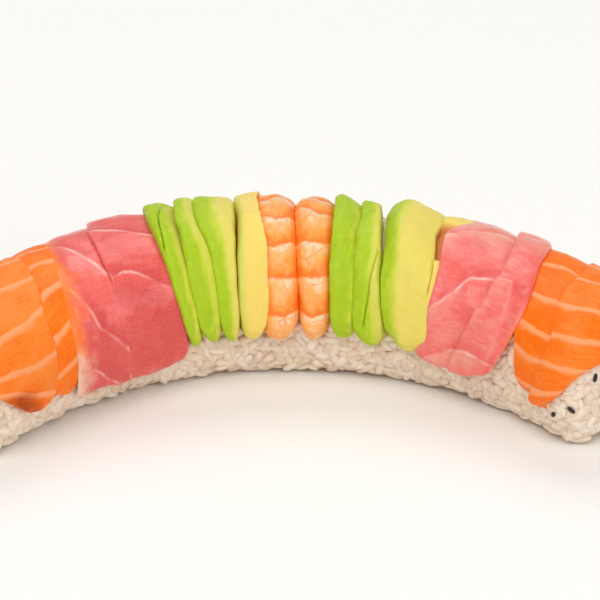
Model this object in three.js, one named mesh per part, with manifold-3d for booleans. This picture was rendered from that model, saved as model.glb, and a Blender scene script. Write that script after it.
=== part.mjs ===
// A curled sushi roll: one uncut body of rice, topped with overlapping slices of
// salmon, tuna, avocado and prawn. Millimetres, X along the roll, Y to its outer
// side, Z up, with the middle of the base of its box at the origin.
import * as THREE from 'three';
import Module from 'manifold-3d';

const wasm = await Module();
wasm.setup();

// Plan of the roll.
const bendRadius = 105;        // centreline of the curl
const bendHalfAngle = 49;      // degrees of curl on each side, straight beyond
const leftReach = 112;         // rice along the centreline, left of its middle
const rightReach = 105;        // and right of it
const endRound = 8;            // rounding of the rice ends
const endDrop = 4.6;           // the crown is this much lower towards the ends
const endDropFrom = 40;        // falling from here along the centreline
const endDropTo = 92;          // to here

// Section across the roll, measured over the fish slices.
const halfWidth = 24;
const centreHeight = 21.2;     // level of the greatest width
const crownRise = 22;          // from there up to the crown
const footDrop = 28.8;         // lower half, which the floor cuts off flat
const sectionPower = 2.25;     // 2 is an ellipse, more is squarer
const fish = 3.8;              // thickness of tuna and salmon slices

// Air left between pieces, and how thin a slice gets at its ends.
const seat = 0.5;
const endSeat = 0.6;           // more of it where a slice bends over a rice end
const gap = 0.34;
const tipShare = 0.32;
const rowPitch = 7;            // rows of a slice round the roll, and half of a prawn's segment

// Grains of rice and the dark seeds among them.
const grainSize = [6.8, 3.0, 2.6];
const grainCount = 125;
const grainSpacing = 6;
const seedSize = [3.2, 1.9, 1.1];
const seedPlaces = [[108.2, -29], [103, -43.5], [98.5, -46]];

// Where neighbouring slices meet: the place along the roll on the upper face at the
// back, crown, shoulder and foot, how far the wall leans at the rice, and that face's height.
const stations = [40, 0, -22, -44];
const meetings = {
  leftEnd: { along: [-103, -125, -117, -101], lean: 1.5, level: fish },
  salmonLeft: { along: [-70, -76.3, -86, -89.5], lean: -6, level: fish },
  tunaLeft: { along: [-58, -69.8, -80.8, -82.5], lean: 6, level: fish },
  tunaFold: { along: [-44, -56.4, -59.8, -58.5], lean: 6, level: fish },
  fanLeft: { along: [-35, -41.9, -40.6, -36.5], lean: 2, level: 4.2 },
  fanLeftTwo: { along: [-27, -33.5, -35, -30.5], lean: 3, level: 4.8 },
  fanLeftThree: { along: [-21.5, -27, -25.8, -21.5], lean: 3, level: 4.8 },
  fanGap: { along: [-13.6, -15.8, -18, -18], lean: 0, level: 5.2 },
  yellowSlice: { along: [-13.2, -14.6, -17.6, -17.8], lean: 0, level: 5.2 },
  prawnLeft: { along: [-5, -9.8, -7.5, -9], lean: -3, level: 5.2 },
  prawnSeam: { along: [2, 1.4, 2.7, 3.3], lean: 0, level: 4.4 },
  fanRight: { along: [10, 12.1, 13.2, 13.6], lean: 1.5, level: 4.6 },
  fanRightTwo: { along: [15, 19.3, 21.1, 23], lean: 3, level: 4.8 },
  fanSplit: { along: [19.5, 26, 31.4, 35.6], lean: 3, level: 4.8 },
  fanRightThree: { along: [22.5, 27.8, 32.4, 36], lean: 3, level: 4.8 },
  tuckedSlice: { along: [41, 42.8, 47.8, 45], lean: 1, level: 4.4 },
  tunaRight: { along: [42.8, 45.8, 50, 46.4], lean: 5, level: fish },
  tunaRidge: { along: [50, 64.4, 68.2, 60], lean: 3.5, level: fish },
  salmonRight: { along: [60, 74, 82.6, 74.5], lean: -3.5, level: fish },
  salmonStep: { along: [72, 85, 94, 91.5], lean: 6, level: fish },
  rightEnd: { along: [97, 118, 107, 95.5], lean: -1.5, level: fish },
};

// Each slice lies between two meetings and between its front and back ends. Its height
// runs from the left wall over the crest to the right wall. A trim takes its left wall away
// to the right below some place round the roll.
const slices = [
  { name: 'salmon_left_outer', kind: 'salmon', from: 'leftEnd', to: 'salmonLeft', ends: [-46, 42],
    heights: [3.0, 3.9, 4.3], crest: 0.6, across: 12 },
  { name: 'salmon_left_inner', kind: 'salmon', from: 'salmonLeft', to: 'tunaLeft', ends: [-45, 40],
    heights: [3.5, 3.9, 3.5], crest: 0.5 },
  { name: 'tuna_left_outer', kind: 'tuna', from: 'tunaLeft', to: 'tunaFold', ends: [-50, 42],
    heights: [4.3, 4.0, 3.4], crest: 0.4 },
  { name: 'tuna_left_inner', kind: 'tuna', from: 'tunaFold', to: 'fanLeft', ends: [-49, 42],
    heights: [4.6, 4.6, 4.0], crest: 0.4 },
  { name: 'avocado_left_1', kind: 'avocado', from: 'fanLeft', to: 'fanLeftTwo', ends: [-43, 38],
    heights: [4.2, 6.9, 5.0], crest: 0.42 },
  { name: 'avocado_left_2', kind: 'avocado', from: 'fanLeftTwo', to: 'fanLeftThree', ends: [-42, 38],
    heights: [5.1, 7.0, 5.0], crest: 0.42 },
  { name: 'avocado_left_3', kind: 'avocado', from: 'fanLeftThree', to: 'fanGap', ends: [-43, 38],
    heights: [5.1, 7.1, 5.8], crest: 0.36 },
  { name: 'avocado_left_4', kind: 'avocado', from: 'yellowSlice', to: 'prawnLeft', ends: [-42, 37],
    heights: [6.3, 7.4, 6.4], crest: 0.5 },
  { name: 'prawn_left', kind: 'prawn', from: 'prawnLeft', to: 'prawnSeam', ends: [-43, 38],
    heights: [5.2, 6.0, 3.7], crest: 0.45 },
  { name: 'prawn_right', kind: 'prawn', from: 'prawnSeam', to: 'fanRight', ends: [-43, 38],
    heights: [3.8, 5.7, 3.8], crest: 0.5 },
  { name: 'avocado_right_1', kind: 'avocado', from: 'fanRight', to: 'fanRightTwo', ends: [-42, 38],
    heights: [4.6, 6.5, 4.0], crest: 0.42 },
  { name: 'avocado_right_2', kind: 'avocado', from: 'fanRightTwo', to: 'fanSplit', ends: [-43, 38],
    heights: [3.6, 5.4, 4.6], crest: 0.4 },
  { name: 'avocado_right_3', kind: 'avocado', from: 'fanRightThree', to: 'tuckedSlice', ends: [-43, 38],
    heights: [4.0, 6.8, 3.9], crest: 0.33 },
  { name: 'avocado_right_4', kind: 'avocado', from: 'tuckedSlice', to: 'tunaRight', ends: [-36, 36],
    heights: [4.1, 4.4, 3.6], crest: 0.5 },
  { name: 'tuna_right_inner', kind: 'tuna', from: 'tunaRight', to: 'tunaRidge', ends: [-46, 42],
    heights: [4.4, 4.4, 3.6], crest: 0.4 },
  { name: 'tuna_right_outer', kind: 'tuna', from: 'tunaRidge', to: 'salmonRight', ends: [-45, 42],
    heights: [4.7, 5.5, 4.5], crest: 0.5 },
  { name: 'salmon_right_inner', kind: 'salmon', from: 'salmonRight', to: 'salmonStep', ends: [-41, 40],
    heights: [3.5, 3.8, 3.5], crest: 0.5, trim: { below: -24, rate: 0.8 } },
  { name: 'salmon_right_outer', kind: 'salmon', from: 'salmonStep', to: 'rightEnd', ends: [-44, 42],
    heights: [4.3, 4.1, 3.0], crest: 0.4, across: 10 },
];

// How each food is cut: patches across a slice, the rounding of its ends, its ridges and look.
const kinds = {
  salmon: { across: 4, tip: 9, tipWidth: 0.62, ridge: 0,
    colour: '#f98a3a', roughness: 0.36 },
  tuna: { across: 4, tip: 8, tipWidth: 0.62, ridge: 0,
    colour: '#e9665c', roughness: 0.4 },
  avocado: { across: 4, tip: 10, tipWidth: 0.4, ridge: 0,
    colour: '#c3cf4a', roughness: 0.5 },
  prawn: { across: 4, tip: 9, tipWidth: 0.45, ridge: 0.6,
    colour: '#f59a55', roughness: 0.38 },
};
const riceLook = { colour: '#ece2d2', roughness: 0.55 };
const riceRings = 26;          // along the straight of the rice
const riceSides = 22;          // round it

function mix(a, b, share) {
  return a + (b - a) * share;
}

// Half of the section by distance round it from the crown, taken as a fine polyline.
function walkSection() {
  const points = [{ round: 0, side: 0, rise: crownRise }];
  const steps = 900;
  const bend = 2 / sectionPower;
  for (let i = 1; i <= steps; i++) {
    const angle = (i / steps) * THREE.MathUtils.degToRad(165);
    const drop = Math.cos(angle);
    const side = halfWidth * Math.sin(angle) ** bend;
    const rise = (drop > 0 ? crownRise : -footDrop) * Math.abs(drop) ** bend;
    const last = points[points.length - 1];
    points.push({ round: last.round + Math.hypot(side - last.side, rise - last.rise), side, rise });
  }
  return points;
}
const sectionWalk = walkSection();

function outerSection(round) {
  const reach = Math.abs(round);
  let low = 0;
  let high = sectionWalk.length - 1;
  while (high - low > 1) {
    const middle = (low + high) >> 1;
    if (sectionWalk[middle].round > reach) high = middle;
    else low = middle;
  }
  const a = sectionWalk[low];
  const b = sectionWalk[high];
  const share = (reach - a.round) / (b.round - a.round);
  return { side: Math.sign(round) * mix(a.side, b.side, share), rise: mix(a.rise, b.rise, share) };
}

// Bare rice: the outer section drawn in by the thickness of the fish.
function riceSection(round) {
  const reach = 0.4;
  const before = outerSection(round - reach);
  const after = outerSection(round + reach);
  const here = outerSection(round);
  const length = Math.hypot(after.side - before.side, after.rise - before.rise);
  const outSide = -(after.rise - before.rise) / length;
  const outRise = (after.side - before.side) / length;
  return { side: here.side - fish * outSide, rise: here.rise - fish * outRise };
}

// Distance round the section at which the bare rice meets the floor.
function findFoot() {
  let low = 30;
  let high = 75;
  for (let i = 0; i < 40; i++) {
    const middle = (low + high) / 2;
    if (riceSection(middle).rise > -centreHeight) low = middle;
    else high = middle;
  }
  return low;
}
const foot = findFoot();

function planPoint(along) {
  const limit = bendRadius * THREE.MathUtils.degToRad(bendHalfAngle);
  const curled = THREE.MathUtils.clamp(along, -limit, limit);
  const turn = curled / bendRadius;
  const straight = along - curled;
  return {
    x: bendRadius * Math.sin(turn) + straight * Math.cos(turn),
    y: bendRadius * (Math.cos(turn) - 1) - straight * Math.sin(turn),
    turn,
  };
}

// Past the ends the way along the roll turns over the rounded edge and down the end face.
function overEnd(along) {
  const reach = along < 0 ? leftReach : rightReach;
  const past = Math.abs(along) - (reach - endRound);
  if (past <= 0) return { along, inset: 0 };
  const quarter = (endRound * Math.PI) / 2;
  if (past < quarter) {
    const angle = past / endRound;
    const out = reach - endRound + endRound * Math.sin(angle);
    return { along: Math.sign(along) * out, inset: endRound * (1 - Math.cos(angle)) };
  }
  return { along: Math.sign(along) * reach, inset: endRound + past - quarter };
}

// 0 along the roll, rising to 1 where a rice end rounds off.
function pastEnd(along) {
  const reach = along < 0 ? leftReach : rightReach;
  return THREE.MathUtils.smoothstep(Math.abs(along), reach - endRound - 4, reach - endRound + 4);
}

// The roll's height as a share of that in its middle.
function heightShare(along) {
  const fall = THREE.MathUtils.smoothstep(Math.abs(along), endDropFrom, endDropTo);
  return 1 - (endDrop * fall) / (centreHeight + crownRise);
}

function ricePoint(along, round) {
  const end = overEnd(along);
  const shrink = 1 - end.inset / (halfWidth - fish);
  const { side, rise } = riceSection(round);
  const { x, y, turn } = planPoint(end.along);
  return new THREE.Vector3(
    x + side * shrink * Math.sin(turn),
    y + side * shrink * Math.cos(turn),
    (centreHeight + Math.max(rise, -centreHeight) * shrink) * heightShare(end.along),
  );
}

// A point above the bare rice, at a height along its outward normal.
function abovePoint(along, round, height) {
  const reach = 0.3;
  const alongWay = ricePoint(along + reach, round).sub(ricePoint(along - reach, round));
  const roundWay = ricePoint(along, round + reach).sub(ricePoint(along, round - reach));
  const outward = alongWay.cross(roundWay).normalize();
  return ricePoint(along, round).addScaledVector(outward, height);
}

// Smooth curve through the four places of a meeting.
function meetingAt(meeting, round) {
  const { along } = meeting;
  let i = 0;
  while (i < 2 && round < stations[i + 1]) i++;
  const span = stations[i] - stations[i + 1];
  const share = (stations[i] - round) / span;
  const slope = (k) => {
    const a = Math.max(k - 1, 0);
    const b = Math.min(k + 1, 3);
    return (along[b] - along[a]) / (stations[a] - stations[b]);
  };
  const s2 = share * share;
  const s3 = s2 * share;
  return (2 * s3 - 3 * s2 + 1) * along[i] + (s3 - 2 * s2 + share) * span * slope(i)
    + (3 * s2 - 2 * s3) * along[i + 1] + (s3 - s2) * span * slope(i + 1);
}

// A wall between two slices, at some height above the rice. The side is 1 for the slice
// to the right of the wall and -1 for the one to its left, which keeps the gap open.
function wallAt(meeting, round, height, side) {
  const half = (gap / 2) * Math.hypot(1, meeting.lean / meeting.level);
  return meetingAt(meeting, round) + meeting.lean * (1 - height / meeting.level) + side * half;
}

function geometryFrom(points, index) {
  const geometry = new THREE.BufferGeometry();
  const flat = points.flatMap((p) => [p.x, p.y, p.z]);
  geometry.setAttribute('position', new THREE.Float32BufferAttribute(flat, 3));
  geometry.setIndex(index);
  return geometry;
}

// Fills a closed solid from two faces on one grid, the upper one seen from outside.
function solidFromGrids(upper, lower) {
  const rows = upper.length;
  const columns = upper[0].length;
  const points = [...upper.flat(), ...lower.flat()];
  const under = rows * columns;
  const index = [];
  const quad = (a, b, c, d) => index.push(a, b, c, a, c, d);
  for (let i = 0; i < rows - 1; i++) {
    for (let k = 0; k < columns - 1; k++) {
      const a = i * columns + k;
      const b = a + columns;
      quad(a, a + 1, b + 1, b);
      quad(under + a, under + b, under + b + 1, under + a + 1);
    }
  }
  const rim = [];
  for (let k = 0; k < columns - 1; k++) rim.push(k);
  for (let i = 0; i < rows - 1; i++) rim.push(i * columns + columns - 1);
  for (let k = columns - 1; k > 0; k--) rim.push((rows - 1) * columns + k);
  for (let i = rows - 1; i > 0; i--) rim.push(i * columns);
  rim.forEach((a, i) => {
    const b = rim[(i + 1) % rim.length];
    quad(a, under + a, under + b, b);
  });
  return geometryFrom(points, index);
}

// Upper height of a slice across its width: left wall, crest, right wall.
function heightAcross(slice, share) {
  const [left, top, right] = slice.heights;
  const { crest } = slice;
  const side = share < crest ? left : right;
  const away = share < crest ? 1 - share / crest : (share - crest) / (1 - crest);
  const power = slice.kind === 'avocado' && share > crest ? 1.3 : 2.2;
  return mix(top, side, away ** power);
}

// Places round the section where a slice has its rows, the same for all but at the ends.
function rowsBetween(front, back) {
  const rows = [front, front + 2];
  for (let i = Math.ceil((front + 4) / rowPitch); i * rowPitch < back - 3.5; i++) rows.push(i * rowPitch);
  return [...rows, back - 2, back];
}

// One slice laid over the rice, with rounded ends that thin out.
function sliceGeometry(slice) {
  const kind = kinds[slice.kind];
  const left = meetings[slice.from];
  const right = meetings[slice.to];
  const [front, back] = slice.ends;
  const across = slice.across ?? kind.across;
  const upper = [];
  const lower = [];
  for (const round of rowsBetween(front, back)) {
    const inside = Math.min(round - front, back - round);
    const close = THREE.MathUtils.clamp(1 - inside / kind.tip, 0, 1);
    const roundOff = Math.sqrt(1 - close * close);
    const width = mix(kind.tipWidth, 1, roundOff);
    const thick = mix(tipShare, 1, Math.min(1, roundOff * 1.1));
    const ridge = kind.ridge * (0.5 + 0.5 * Math.cos((round / rowPitch) * Math.PI));
    const trim = slice.trim ? Math.max(0, slice.trim.below - round) * slice.trim.rate : 0;
    const upperRow = [];
    const lowerRow = [];
    for (let k = 0; k <= across; k++) {
      const part = k / across;
      const height = seat + (heightAcross(slice, part) - seat + ridge) * thick;
      const spread = 0.5 + (part - 0.5) * width;
      const place = (above) => mix(
        wallAt(left, round, above, 1) + trim,
        wallAt(right, round, above, -1),
        spread,
      );
      const under = place(seat);
      upperRow.push(abovePoint(place(height), round, height));
      lowerRow.push(abovePoint(under, round, seat + endSeat * pastEnd(under)));
    }
    upper.push(upperRow);
    lower.push(lowerRow);
  }
  return solidFromGrids(upper, lower);
}

// Bare body of rice, ringed along the roll and closed by a flat face at both ends.
function riceCore() {
  const quarter = (endRound * Math.PI) / 2;
  const from = -(leftReach - endRound + quarter);
  const to = rightReach - endRound + quarter;
  const alongs = [];
  const straight = [-(leftReach - endRound), rightReach - endRound];
  for (let i = 0; i < 3; i++) alongs.push(mix(from, straight[0], i / 3));
  for (let i = 0; i <= riceRings; i++) alongs.push(mix(straight[0], straight[1], i / riceRings));
  for (let i = 1; i <= 3; i++) alongs.push(mix(straight[1], to, i / 3));
  const points = [];
  const index = [];
  for (const along of alongs) {
    for (let k = 0; k < riceSides; k++) {
      points.push(ricePoint(along, mix(-foot, foot, k / (riceSides - 1))));
    }
  }
  for (let i = 0; i < alongs.length - 1; i++) {
    for (let k = 0; k < riceSides; k++) {
      const a = i * riceSides + k;
      const b = i * riceSides + ((k + 1) % riceSides);
      index.push(a, a + riceSides, b + riceSides, a, b + riceSides, b);
    }
  }
  const ends = [[0, -leftReach, 1], [alongs.length - 1, rightReach, -1]];
  for (const [ring, along, way] of ends) {
    const { x, y } = planPoint(along);
    const middle = points.push(new THREE.Vector3(x, y, centreHeight * heightShare(along))) - 1;
    for (let k = 0; k < riceSides; k++) {
      const a = ring * riceSides + k;
      const b = ring * riceSides + ((k + 1) % riceSides);
      index.push(middle, way > 0 ? a : b, way > 0 ? b : a);
    }
  }
  return geometryFrom(points, index);
}

function toSolid(geometry) {
  return new wasm.Manifold(new wasm.Mesh({
    numProp: 3,
    vertProperties: new Float32Array(geometry.getAttribute('position').array),
    triVerts: new Uint32Array(geometry.index.array),
  }));
}

function toGeometry(solid) {
  const mesh = solid.getMesh();
  const geometry = new THREE.BufferGeometry();
  geometry.setAttribute('position', new THREE.Float32BufferAttribute(Array.from(mesh.vertProperties), 3));
  geometry.setIndex(Array.from(mesh.triVerts));
  return geometry;
}

// Even draw between 0 and 1, the same on every run.
let drawState = 8641;
function draw() {
  drawState = (Math.imul(drawState, 1664525) + 1013904223) >>> 0;
  return drawState / 4294967296;
}

// A low ellipsoid lying on the rice, long side in the surface, turned by an angle.
function pelletGeometry(size, centre, outward, turn) {
  const points = [new THREE.Vector3(0, 0, 0.5)];
  const index = [];
  const sides = 5;
  const levels = [0.28, -0.28];
  levels.forEach((level, i) => {
    for (let k = 0; k < sides; k++) {
      const angle = ((k + i * 0.5) / sides) * 2 * Math.PI;
      const radius = Math.sqrt(0.25 - level * level);
      points.push(new THREE.Vector3(radius * Math.cos(angle), radius * Math.sin(angle), level));
    }
  });
  points.push(new THREE.Vector3(0, 0, -0.5));
  for (let k = 0; k < sides; k++) {
    const next = (k + 1) % sides;
    index.push(0, 1 + k, 1 + next);
    index.push(1 + k, 1 + sides + k, 1 + next, 1 + next, 1 + sides + k, 1 + sides + next);
    index.push(1 + sides + k, 1 + 2 * sides, 1 + sides + next);
  }
  const lift = new THREE.Quaternion().setFromUnitVectors(new THREE.Vector3(0, 0, 1), outward);
  const spin = new THREE.Quaternion().setFromAxisAngle(new THREE.Vector3(0, 0, 1), turn);
  const lay = new THREE.Quaternion().setFromAxisAngle(new THREE.Vector3(0, 1, 0), Math.PI / 2);
  for (const p of points) {
    p.set(p.x * size[2], p.y * size[1], p.z * size[0]).applyQuaternion(lay);
    p.applyQuaternion(spin).applyQuaternion(lift).add(centre);
  }
  return geometryFrom(points, index);
}

// Evenly drawn places on the rice that face away from the floor.
function drawPlace(geometry, areas) {
  const position = geometry.getAttribute('position');
  const aim = draw() * areas[areas.length - 1];
  const face = areas.findIndex((area) => area >= aim);
  const { array } = geometry.index;
  const corner = (k) => new THREE.Vector3().fromBufferAttribute(position, array[face * 3 + k]);
  const [a, b, c] = [corner(0), corner(1), corner(2)];
  let u = draw();
  let v = draw();
  if (u + v > 1) [u, v] = [1 - u, 1 - v];
  const outward = b.clone().sub(a).cross(c.clone().sub(a)).normalize();
  const point = a.clone().addScaledVector(b.sub(a), u).addScaledVector(c.sub(a), v);
  return { point, outward };
}

function runningAreas(geometry) {
  const position = geometry.getAttribute('position');
  const { array } = geometry.index;
  const areas = [];
  let sum = 0;
  for (let i = 0; i < array.length; i += 3) {
    const [a, b, c] = [0, 1, 2].map((k) => new THREE.Vector3().fromBufferAttribute(position, array[i + k]));
    sum += b.sub(a).cross(c.sub(a)).length() / 2;
    areas.push(sum);
  }
  return areas;
}

// The rice: its core with grains and seeds fused on wherever no slice covers it.
function riceGeometry(toppings) {
  const coreGeometry = riceCore();
  const areas = runningAreas(coreGeometry);
  let solid = toSolid(coreGeometry);
  const free = (size, centre, outward, turn) => {
    const wide = pelletGeometry(size.map((length) => length + 0.9), centre, outward, turn);
    const lowest = Math.min(...pelletGeometry(size, centre, outward, turn).getAttribute('position').array
      .filter((value, i) => i % 3 === 2));
    if (lowest < 0.15) return false;
    const test = toSolid(wide);
    return toppings.every((topping) => test.intersect(topping).getMesh().triVerts.length === 0);
  };
  const taken = [];
  for (const [along, round] of seedPlaces) {
    const centre = abovePoint(along, round, 0);
    const outward = abovePoint(along, round, 1).sub(centre).normalize();
    if (!free(seedSize, centre, outward, along)) continue;
    solid = solid.add(toSolid(pelletGeometry(seedSize, centre, outward, along)));
    taken.push(centre);
  }
  for (let tries = 0; tries < 6000 && taken.length < grainCount; tries++) {
    const { point, outward } = drawPlace(coreGeometry, areas);
    const turn = draw() * Math.PI;
    const size = grainSize.map((length) => length * mix(0.88, 1.08, draw()));
    if (outward.z < -0.85) continue;
    const centre = point.addScaledVector(outward, 0.35);
    if (taken.some((other) => other.distanceTo(centre) < grainSpacing)) continue;
    if (!free(size, centre, outward, turn)) continue;
    solid = solid.add(toSolid(pelletGeometry(size, centre, outward, turn)));
    taken.push(centre);
  }
  return toGeometry(solid);
}

function addMesh(group, name, geometry, look) {
  geometry.computeVertexNormals();
  const { colour, roughness } = look;
  const material = new THREE.MeshStandardMaterial({ color: colour, roughness, metalness: 0 });
  material.name = name;
  const mesh = new THREE.Mesh(geometry, material);
  mesh.name = name;
  group.add(mesh);
}

const roll = new THREE.Group();
const sliceGeometries = slices.map(sliceGeometry);
addMesh(roll, 'rice_roll', riceGeometry(sliceGeometries.map(toSolid)), riceLook);
slices.forEach((slice, i) => addMesh(roll, slice.name, sliceGeometries[i], kinds[slice.kind]));

// The middle of the base of the box goes to the origin.
const box = new THREE.Box3();
roll.children.forEach((mesh) => {
  mesh.geometry.computeBoundingBox();
  box.union(mesh.geometry.boundingBox);
});
const middle = box.getCenter(new THREE.Vector3());
roll.children.forEach((mesh) => mesh.geometry.translate(-middle.x, -middle.y, -box.min.z));

export default roll;
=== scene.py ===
import math
from functools import partial
import bpy
import numpy as np
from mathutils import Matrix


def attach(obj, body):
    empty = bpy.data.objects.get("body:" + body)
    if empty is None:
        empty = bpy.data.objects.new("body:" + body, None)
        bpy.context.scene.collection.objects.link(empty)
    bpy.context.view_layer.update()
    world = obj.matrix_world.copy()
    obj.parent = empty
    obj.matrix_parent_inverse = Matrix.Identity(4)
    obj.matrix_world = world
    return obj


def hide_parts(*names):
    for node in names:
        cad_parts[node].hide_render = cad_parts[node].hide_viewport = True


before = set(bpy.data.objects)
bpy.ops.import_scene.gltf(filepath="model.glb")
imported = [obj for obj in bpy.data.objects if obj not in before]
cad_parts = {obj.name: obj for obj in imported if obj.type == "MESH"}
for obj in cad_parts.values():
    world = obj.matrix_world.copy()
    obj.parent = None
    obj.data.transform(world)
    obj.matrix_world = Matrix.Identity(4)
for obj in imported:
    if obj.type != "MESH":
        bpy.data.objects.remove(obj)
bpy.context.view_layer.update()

# The roll's own surface, in millimetres: the same sizes as the solids
rollShape = {
    "bendRadius": 105.0, "bendHalfAngle": 49.0,     # centreline of the curl, straight beyond the angle
    "leftReach": 112.0, "rightReach": 105.0,        # rice along the centreline
    "endRound": 8.0,
    "endDrop": (4.6, 40.0, 92.0),                   # crown lower at the ends: by, from and to
    "halfWidth": 24.0, "centreHeight": 21.2, "crownRise": 22.0, "footDrop": 28.8, "power": 2.25,
    "sweep": 165.0, "sweepSteps": 1201,             # the section is walked this far round from its crown
    "fish": 3.8,                                    # rice lies this far under the outer section
    "seat": 0.5,                                    # air between rice and slices
    "originShift": (2.265, 19.94),                  # brings the middle of the base to the origin
}
sectionStep, surfaceStep = 0.4, 0.3                 # slopes are taken over this much to either side
rippleWaves, rippleSum = 7, 2.6                     # waves laid over each other, and what scales their sum
print("stage: roll surface")


def mix(a, b, share):
    return a + (b - a) * share


def smoothStep(low, high, value):
    share = np.clip((value - low) / (high - low), 0.0, 1.0)
    return share * share * (3.0 - 2.0 * share)


# 1 between two values, with soft flanks
def window(low, high, soft, value):
    return smoothStep(low - soft, low + soft, value) * (1.0 - smoothStep(high - soft, high + soft, value))


def walkSection():
    bend = 2.0 / rollShape["power"]
    angle = np.linspace(0.0, math.radians(rollShape["sweep"]), rollShape["sweepSteps"])
    drop = np.cos(angle)
    side = rollShape["halfWidth"] * np.sin(angle) ** bend
    rise = np.where(drop > 0, rollShape["crownRise"], -rollShape["footDrop"]) * np.abs(drop) ** bend
    walked = np.concatenate([[0.0], np.cumsum(np.hypot(np.diff(side), np.diff(rise)))])
    return walked, side, rise


sectionWalk = walkSection()


def outerSection(around):
    walked, side, rise = sectionWalk
    reach = np.abs(around)
    return np.sign(around) * np.interp(reach, walked, side), np.interp(reach, walked, rise)


def riceSection(around):
    sideA, riseA = outerSection(around - sectionStep)
    sideB, riseB = outerSection(around + sectionStep)
    side, rise = outerSection(around)
    length = np.hypot(sideB - sideA, riseB - riseA)
    outSide, outRise = -(riseB - riseA) / length, (sideB - sideA) / length
    return side - rollShape["fish"] * outSide, rise - rollShape["fish"] * outRise


def planPoint(along):
    radius = rollShape["bendRadius"]
    limit = radius * math.radians(rollShape["bendHalfAngle"])
    curled = np.clip(along, -limit, limit)
    turn = curled / radius
    straight = along - curled
    x = radius * np.sin(turn) + straight * np.cos(turn)
    y = radius * (np.cos(turn) - 1.0) - straight * np.sin(turn)
    return x, y, turn


# how far the rice reaches before it rounds off, on the side that a place is on
def reachAt(along):
    return np.where(along < 0, rollShape["leftReach"], rollShape["rightReach"]) - rollShape["endRound"]


# past the ends the way along turns over the rounded edge and down the end face
def overEnd(along):
    endRound = rollShape["endRound"]
    reach = reachAt(along)
    past = np.maximum(np.abs(along) - reach, 0.0)
    angle = np.minimum(past / endRound, math.pi / 2)
    out = np.where(past > 0, reach + endRound * np.sin(angle), np.abs(along))
    inset = endRound * (1.0 - np.cos(angle)) + np.maximum(past - endRound * math.pi / 2, 0.0)
    return np.sign(along) * out, inset


def ricePoint(along, around):
    along, around = np.broadcast_arrays(np.asarray(along, float), np.asarray(around, float))
    place, inset = overEnd(along)
    shrink = 1.0 - inset / (rollShape["halfWidth"] - rollShape["fish"])
    side, rise = riceSection(around)
    x, y, turn = planPoint(place)
    height = rollShape["centreHeight"]
    drop, dropFrom, dropTo = rollShape["endDrop"]
    share = 1.0 - drop * smoothStep(dropFrom, dropTo, np.abs(place)) / (height + rollShape["crownRise"])
    shiftX, shiftY = rollShape["originShift"]
    return np.stack([x + side * shrink * np.sin(turn) + shiftX,
                     y + side * shrink * np.cos(turn) + shiftY,
                     (height + np.maximum(rise, -height) * shrink) * share], -1)


# points out of the surface, and is as long as the patch of surface round the place is large
def patchAt(along, around):
    alongWay = ricePoint(along + surfaceStep, around) - ricePoint(along - surfaceStep, around)
    aroundWay = ricePoint(along, around + surfaceStep) - ricePoint(along, around - surfaceStep)
    return np.cross(alongWay, aroundWay)


def outwardAt(along, around):
    patch = patchAt(along, around)
    return patch / np.linalg.norm(patch, axis=-1, keepdims=True)


def abovePoint(along, around, height):
    return ricePoint(along, around) + outwardAt(along, around) * np.asarray(height)[..., None]


def seedOf(name):
    return sum(ord(letter) for letter in name)


# smooth unevenness, the same on every run
def ripple(along, around, seed, size, shortest=9.0, longest=34.0):
    draw = np.random.default_rng(seed)
    total = np.zeros(np.broadcast(along, around).shape)
    for _ in range(rippleWaves):
        angle, phase = draw.uniform(0, math.pi), draw.uniform(0, 2 * math.pi)
        length = draw.uniform(shortest, longest)
        wave = (along * math.cos(angle) + around * math.sin(angle)) * 2 * math.pi / length + phase
        total = total + np.sin(wave)
    return total * size / rippleSum


# Where neighbouring slices meet: place along the roll at back, crown, shoulder and foot,
# how far the wall between them leans, and the height the places are taken at
stations = np.array([40.0, 0.0, -22.0, -44.0])
meetings = {
    "leftEnd": ((-103, -125, -117, -101), 1.5, 3.8),
    "salmonLeft": ((-70, -76.3, -86, -89.5), -6, 3.8),
    "tunaLeft": ((-58, -69.8, -78.8, -81.4), 6, 3.8),
    "tunaFold": ((-44, -56.4, -59.8, -58.5), 6, 3.8),
    "fanLeft": ((-31, -40.6, -40.6, -36.5), 2, 4.2),
    "fanLeftTwo": ((-22.5, -32.6, -35, -31), 3, 4.8),
    "fanLeftThree": ((-17.5, -26.8, -25.8, -24), 3, 4.8),
    "fanGap": ((-13.6, -15.8, -18, -18), 0.6, 5.2),
    "yellowSlice": ((-13.2, -14.6, -17.4, -17.6), -0.9, 5.2),
    "prawnLeft": ((-5, -9.8, -7.5, -9), -3, 5.2),
    "prawnSeam": ((2, 1.4, 2.7, 3.3), 0, 4.4),
    "fanRight": ((10, 12.1, 13.2, 13.6), 1.5, 4.6),
    "fanRightTwo": ((15, 19.3, 21.1, 23), 3, 4.8),
    "fanSplit": ((19.5, 25.3, 30.6, 35.2), 1, 4.8),
    "fanRightThree": ((22.5, 27, 31.2, 35.7), 0.8, 4.8),
    "tuckedSlice": ((40.5, 41.7, 47.8, 45), 1, 4.4),
    "tunaRight": ((42.8, 45.3, 50, 46.4), 5, 3.8),
    "tunaRidge": ((50, 64.4, 68.2, 60), 3.5, 3.8),
    "salmonRight": ((60, 74, 82.6, 74.5), -3.5, 3.8),
    "salmonStep": ((72, 85, 94, 91.5), 6, 3.8),
    "rightEnd": ((97, 118, 107.4, 98.2), -1.5, 3.8),
}
# a meeting that swings out: where round the roll, over what reach, and how far
meetingSwings = {"tunaRight": (9.5, 8.0, 5.0)}
wallPress = 0.12                            # neighbours press into each other, so that no dark line shows
wallWaver, waverMm = 0.22, (8.0, 30.0)      # their edges waver by this much, over these lengths


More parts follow.
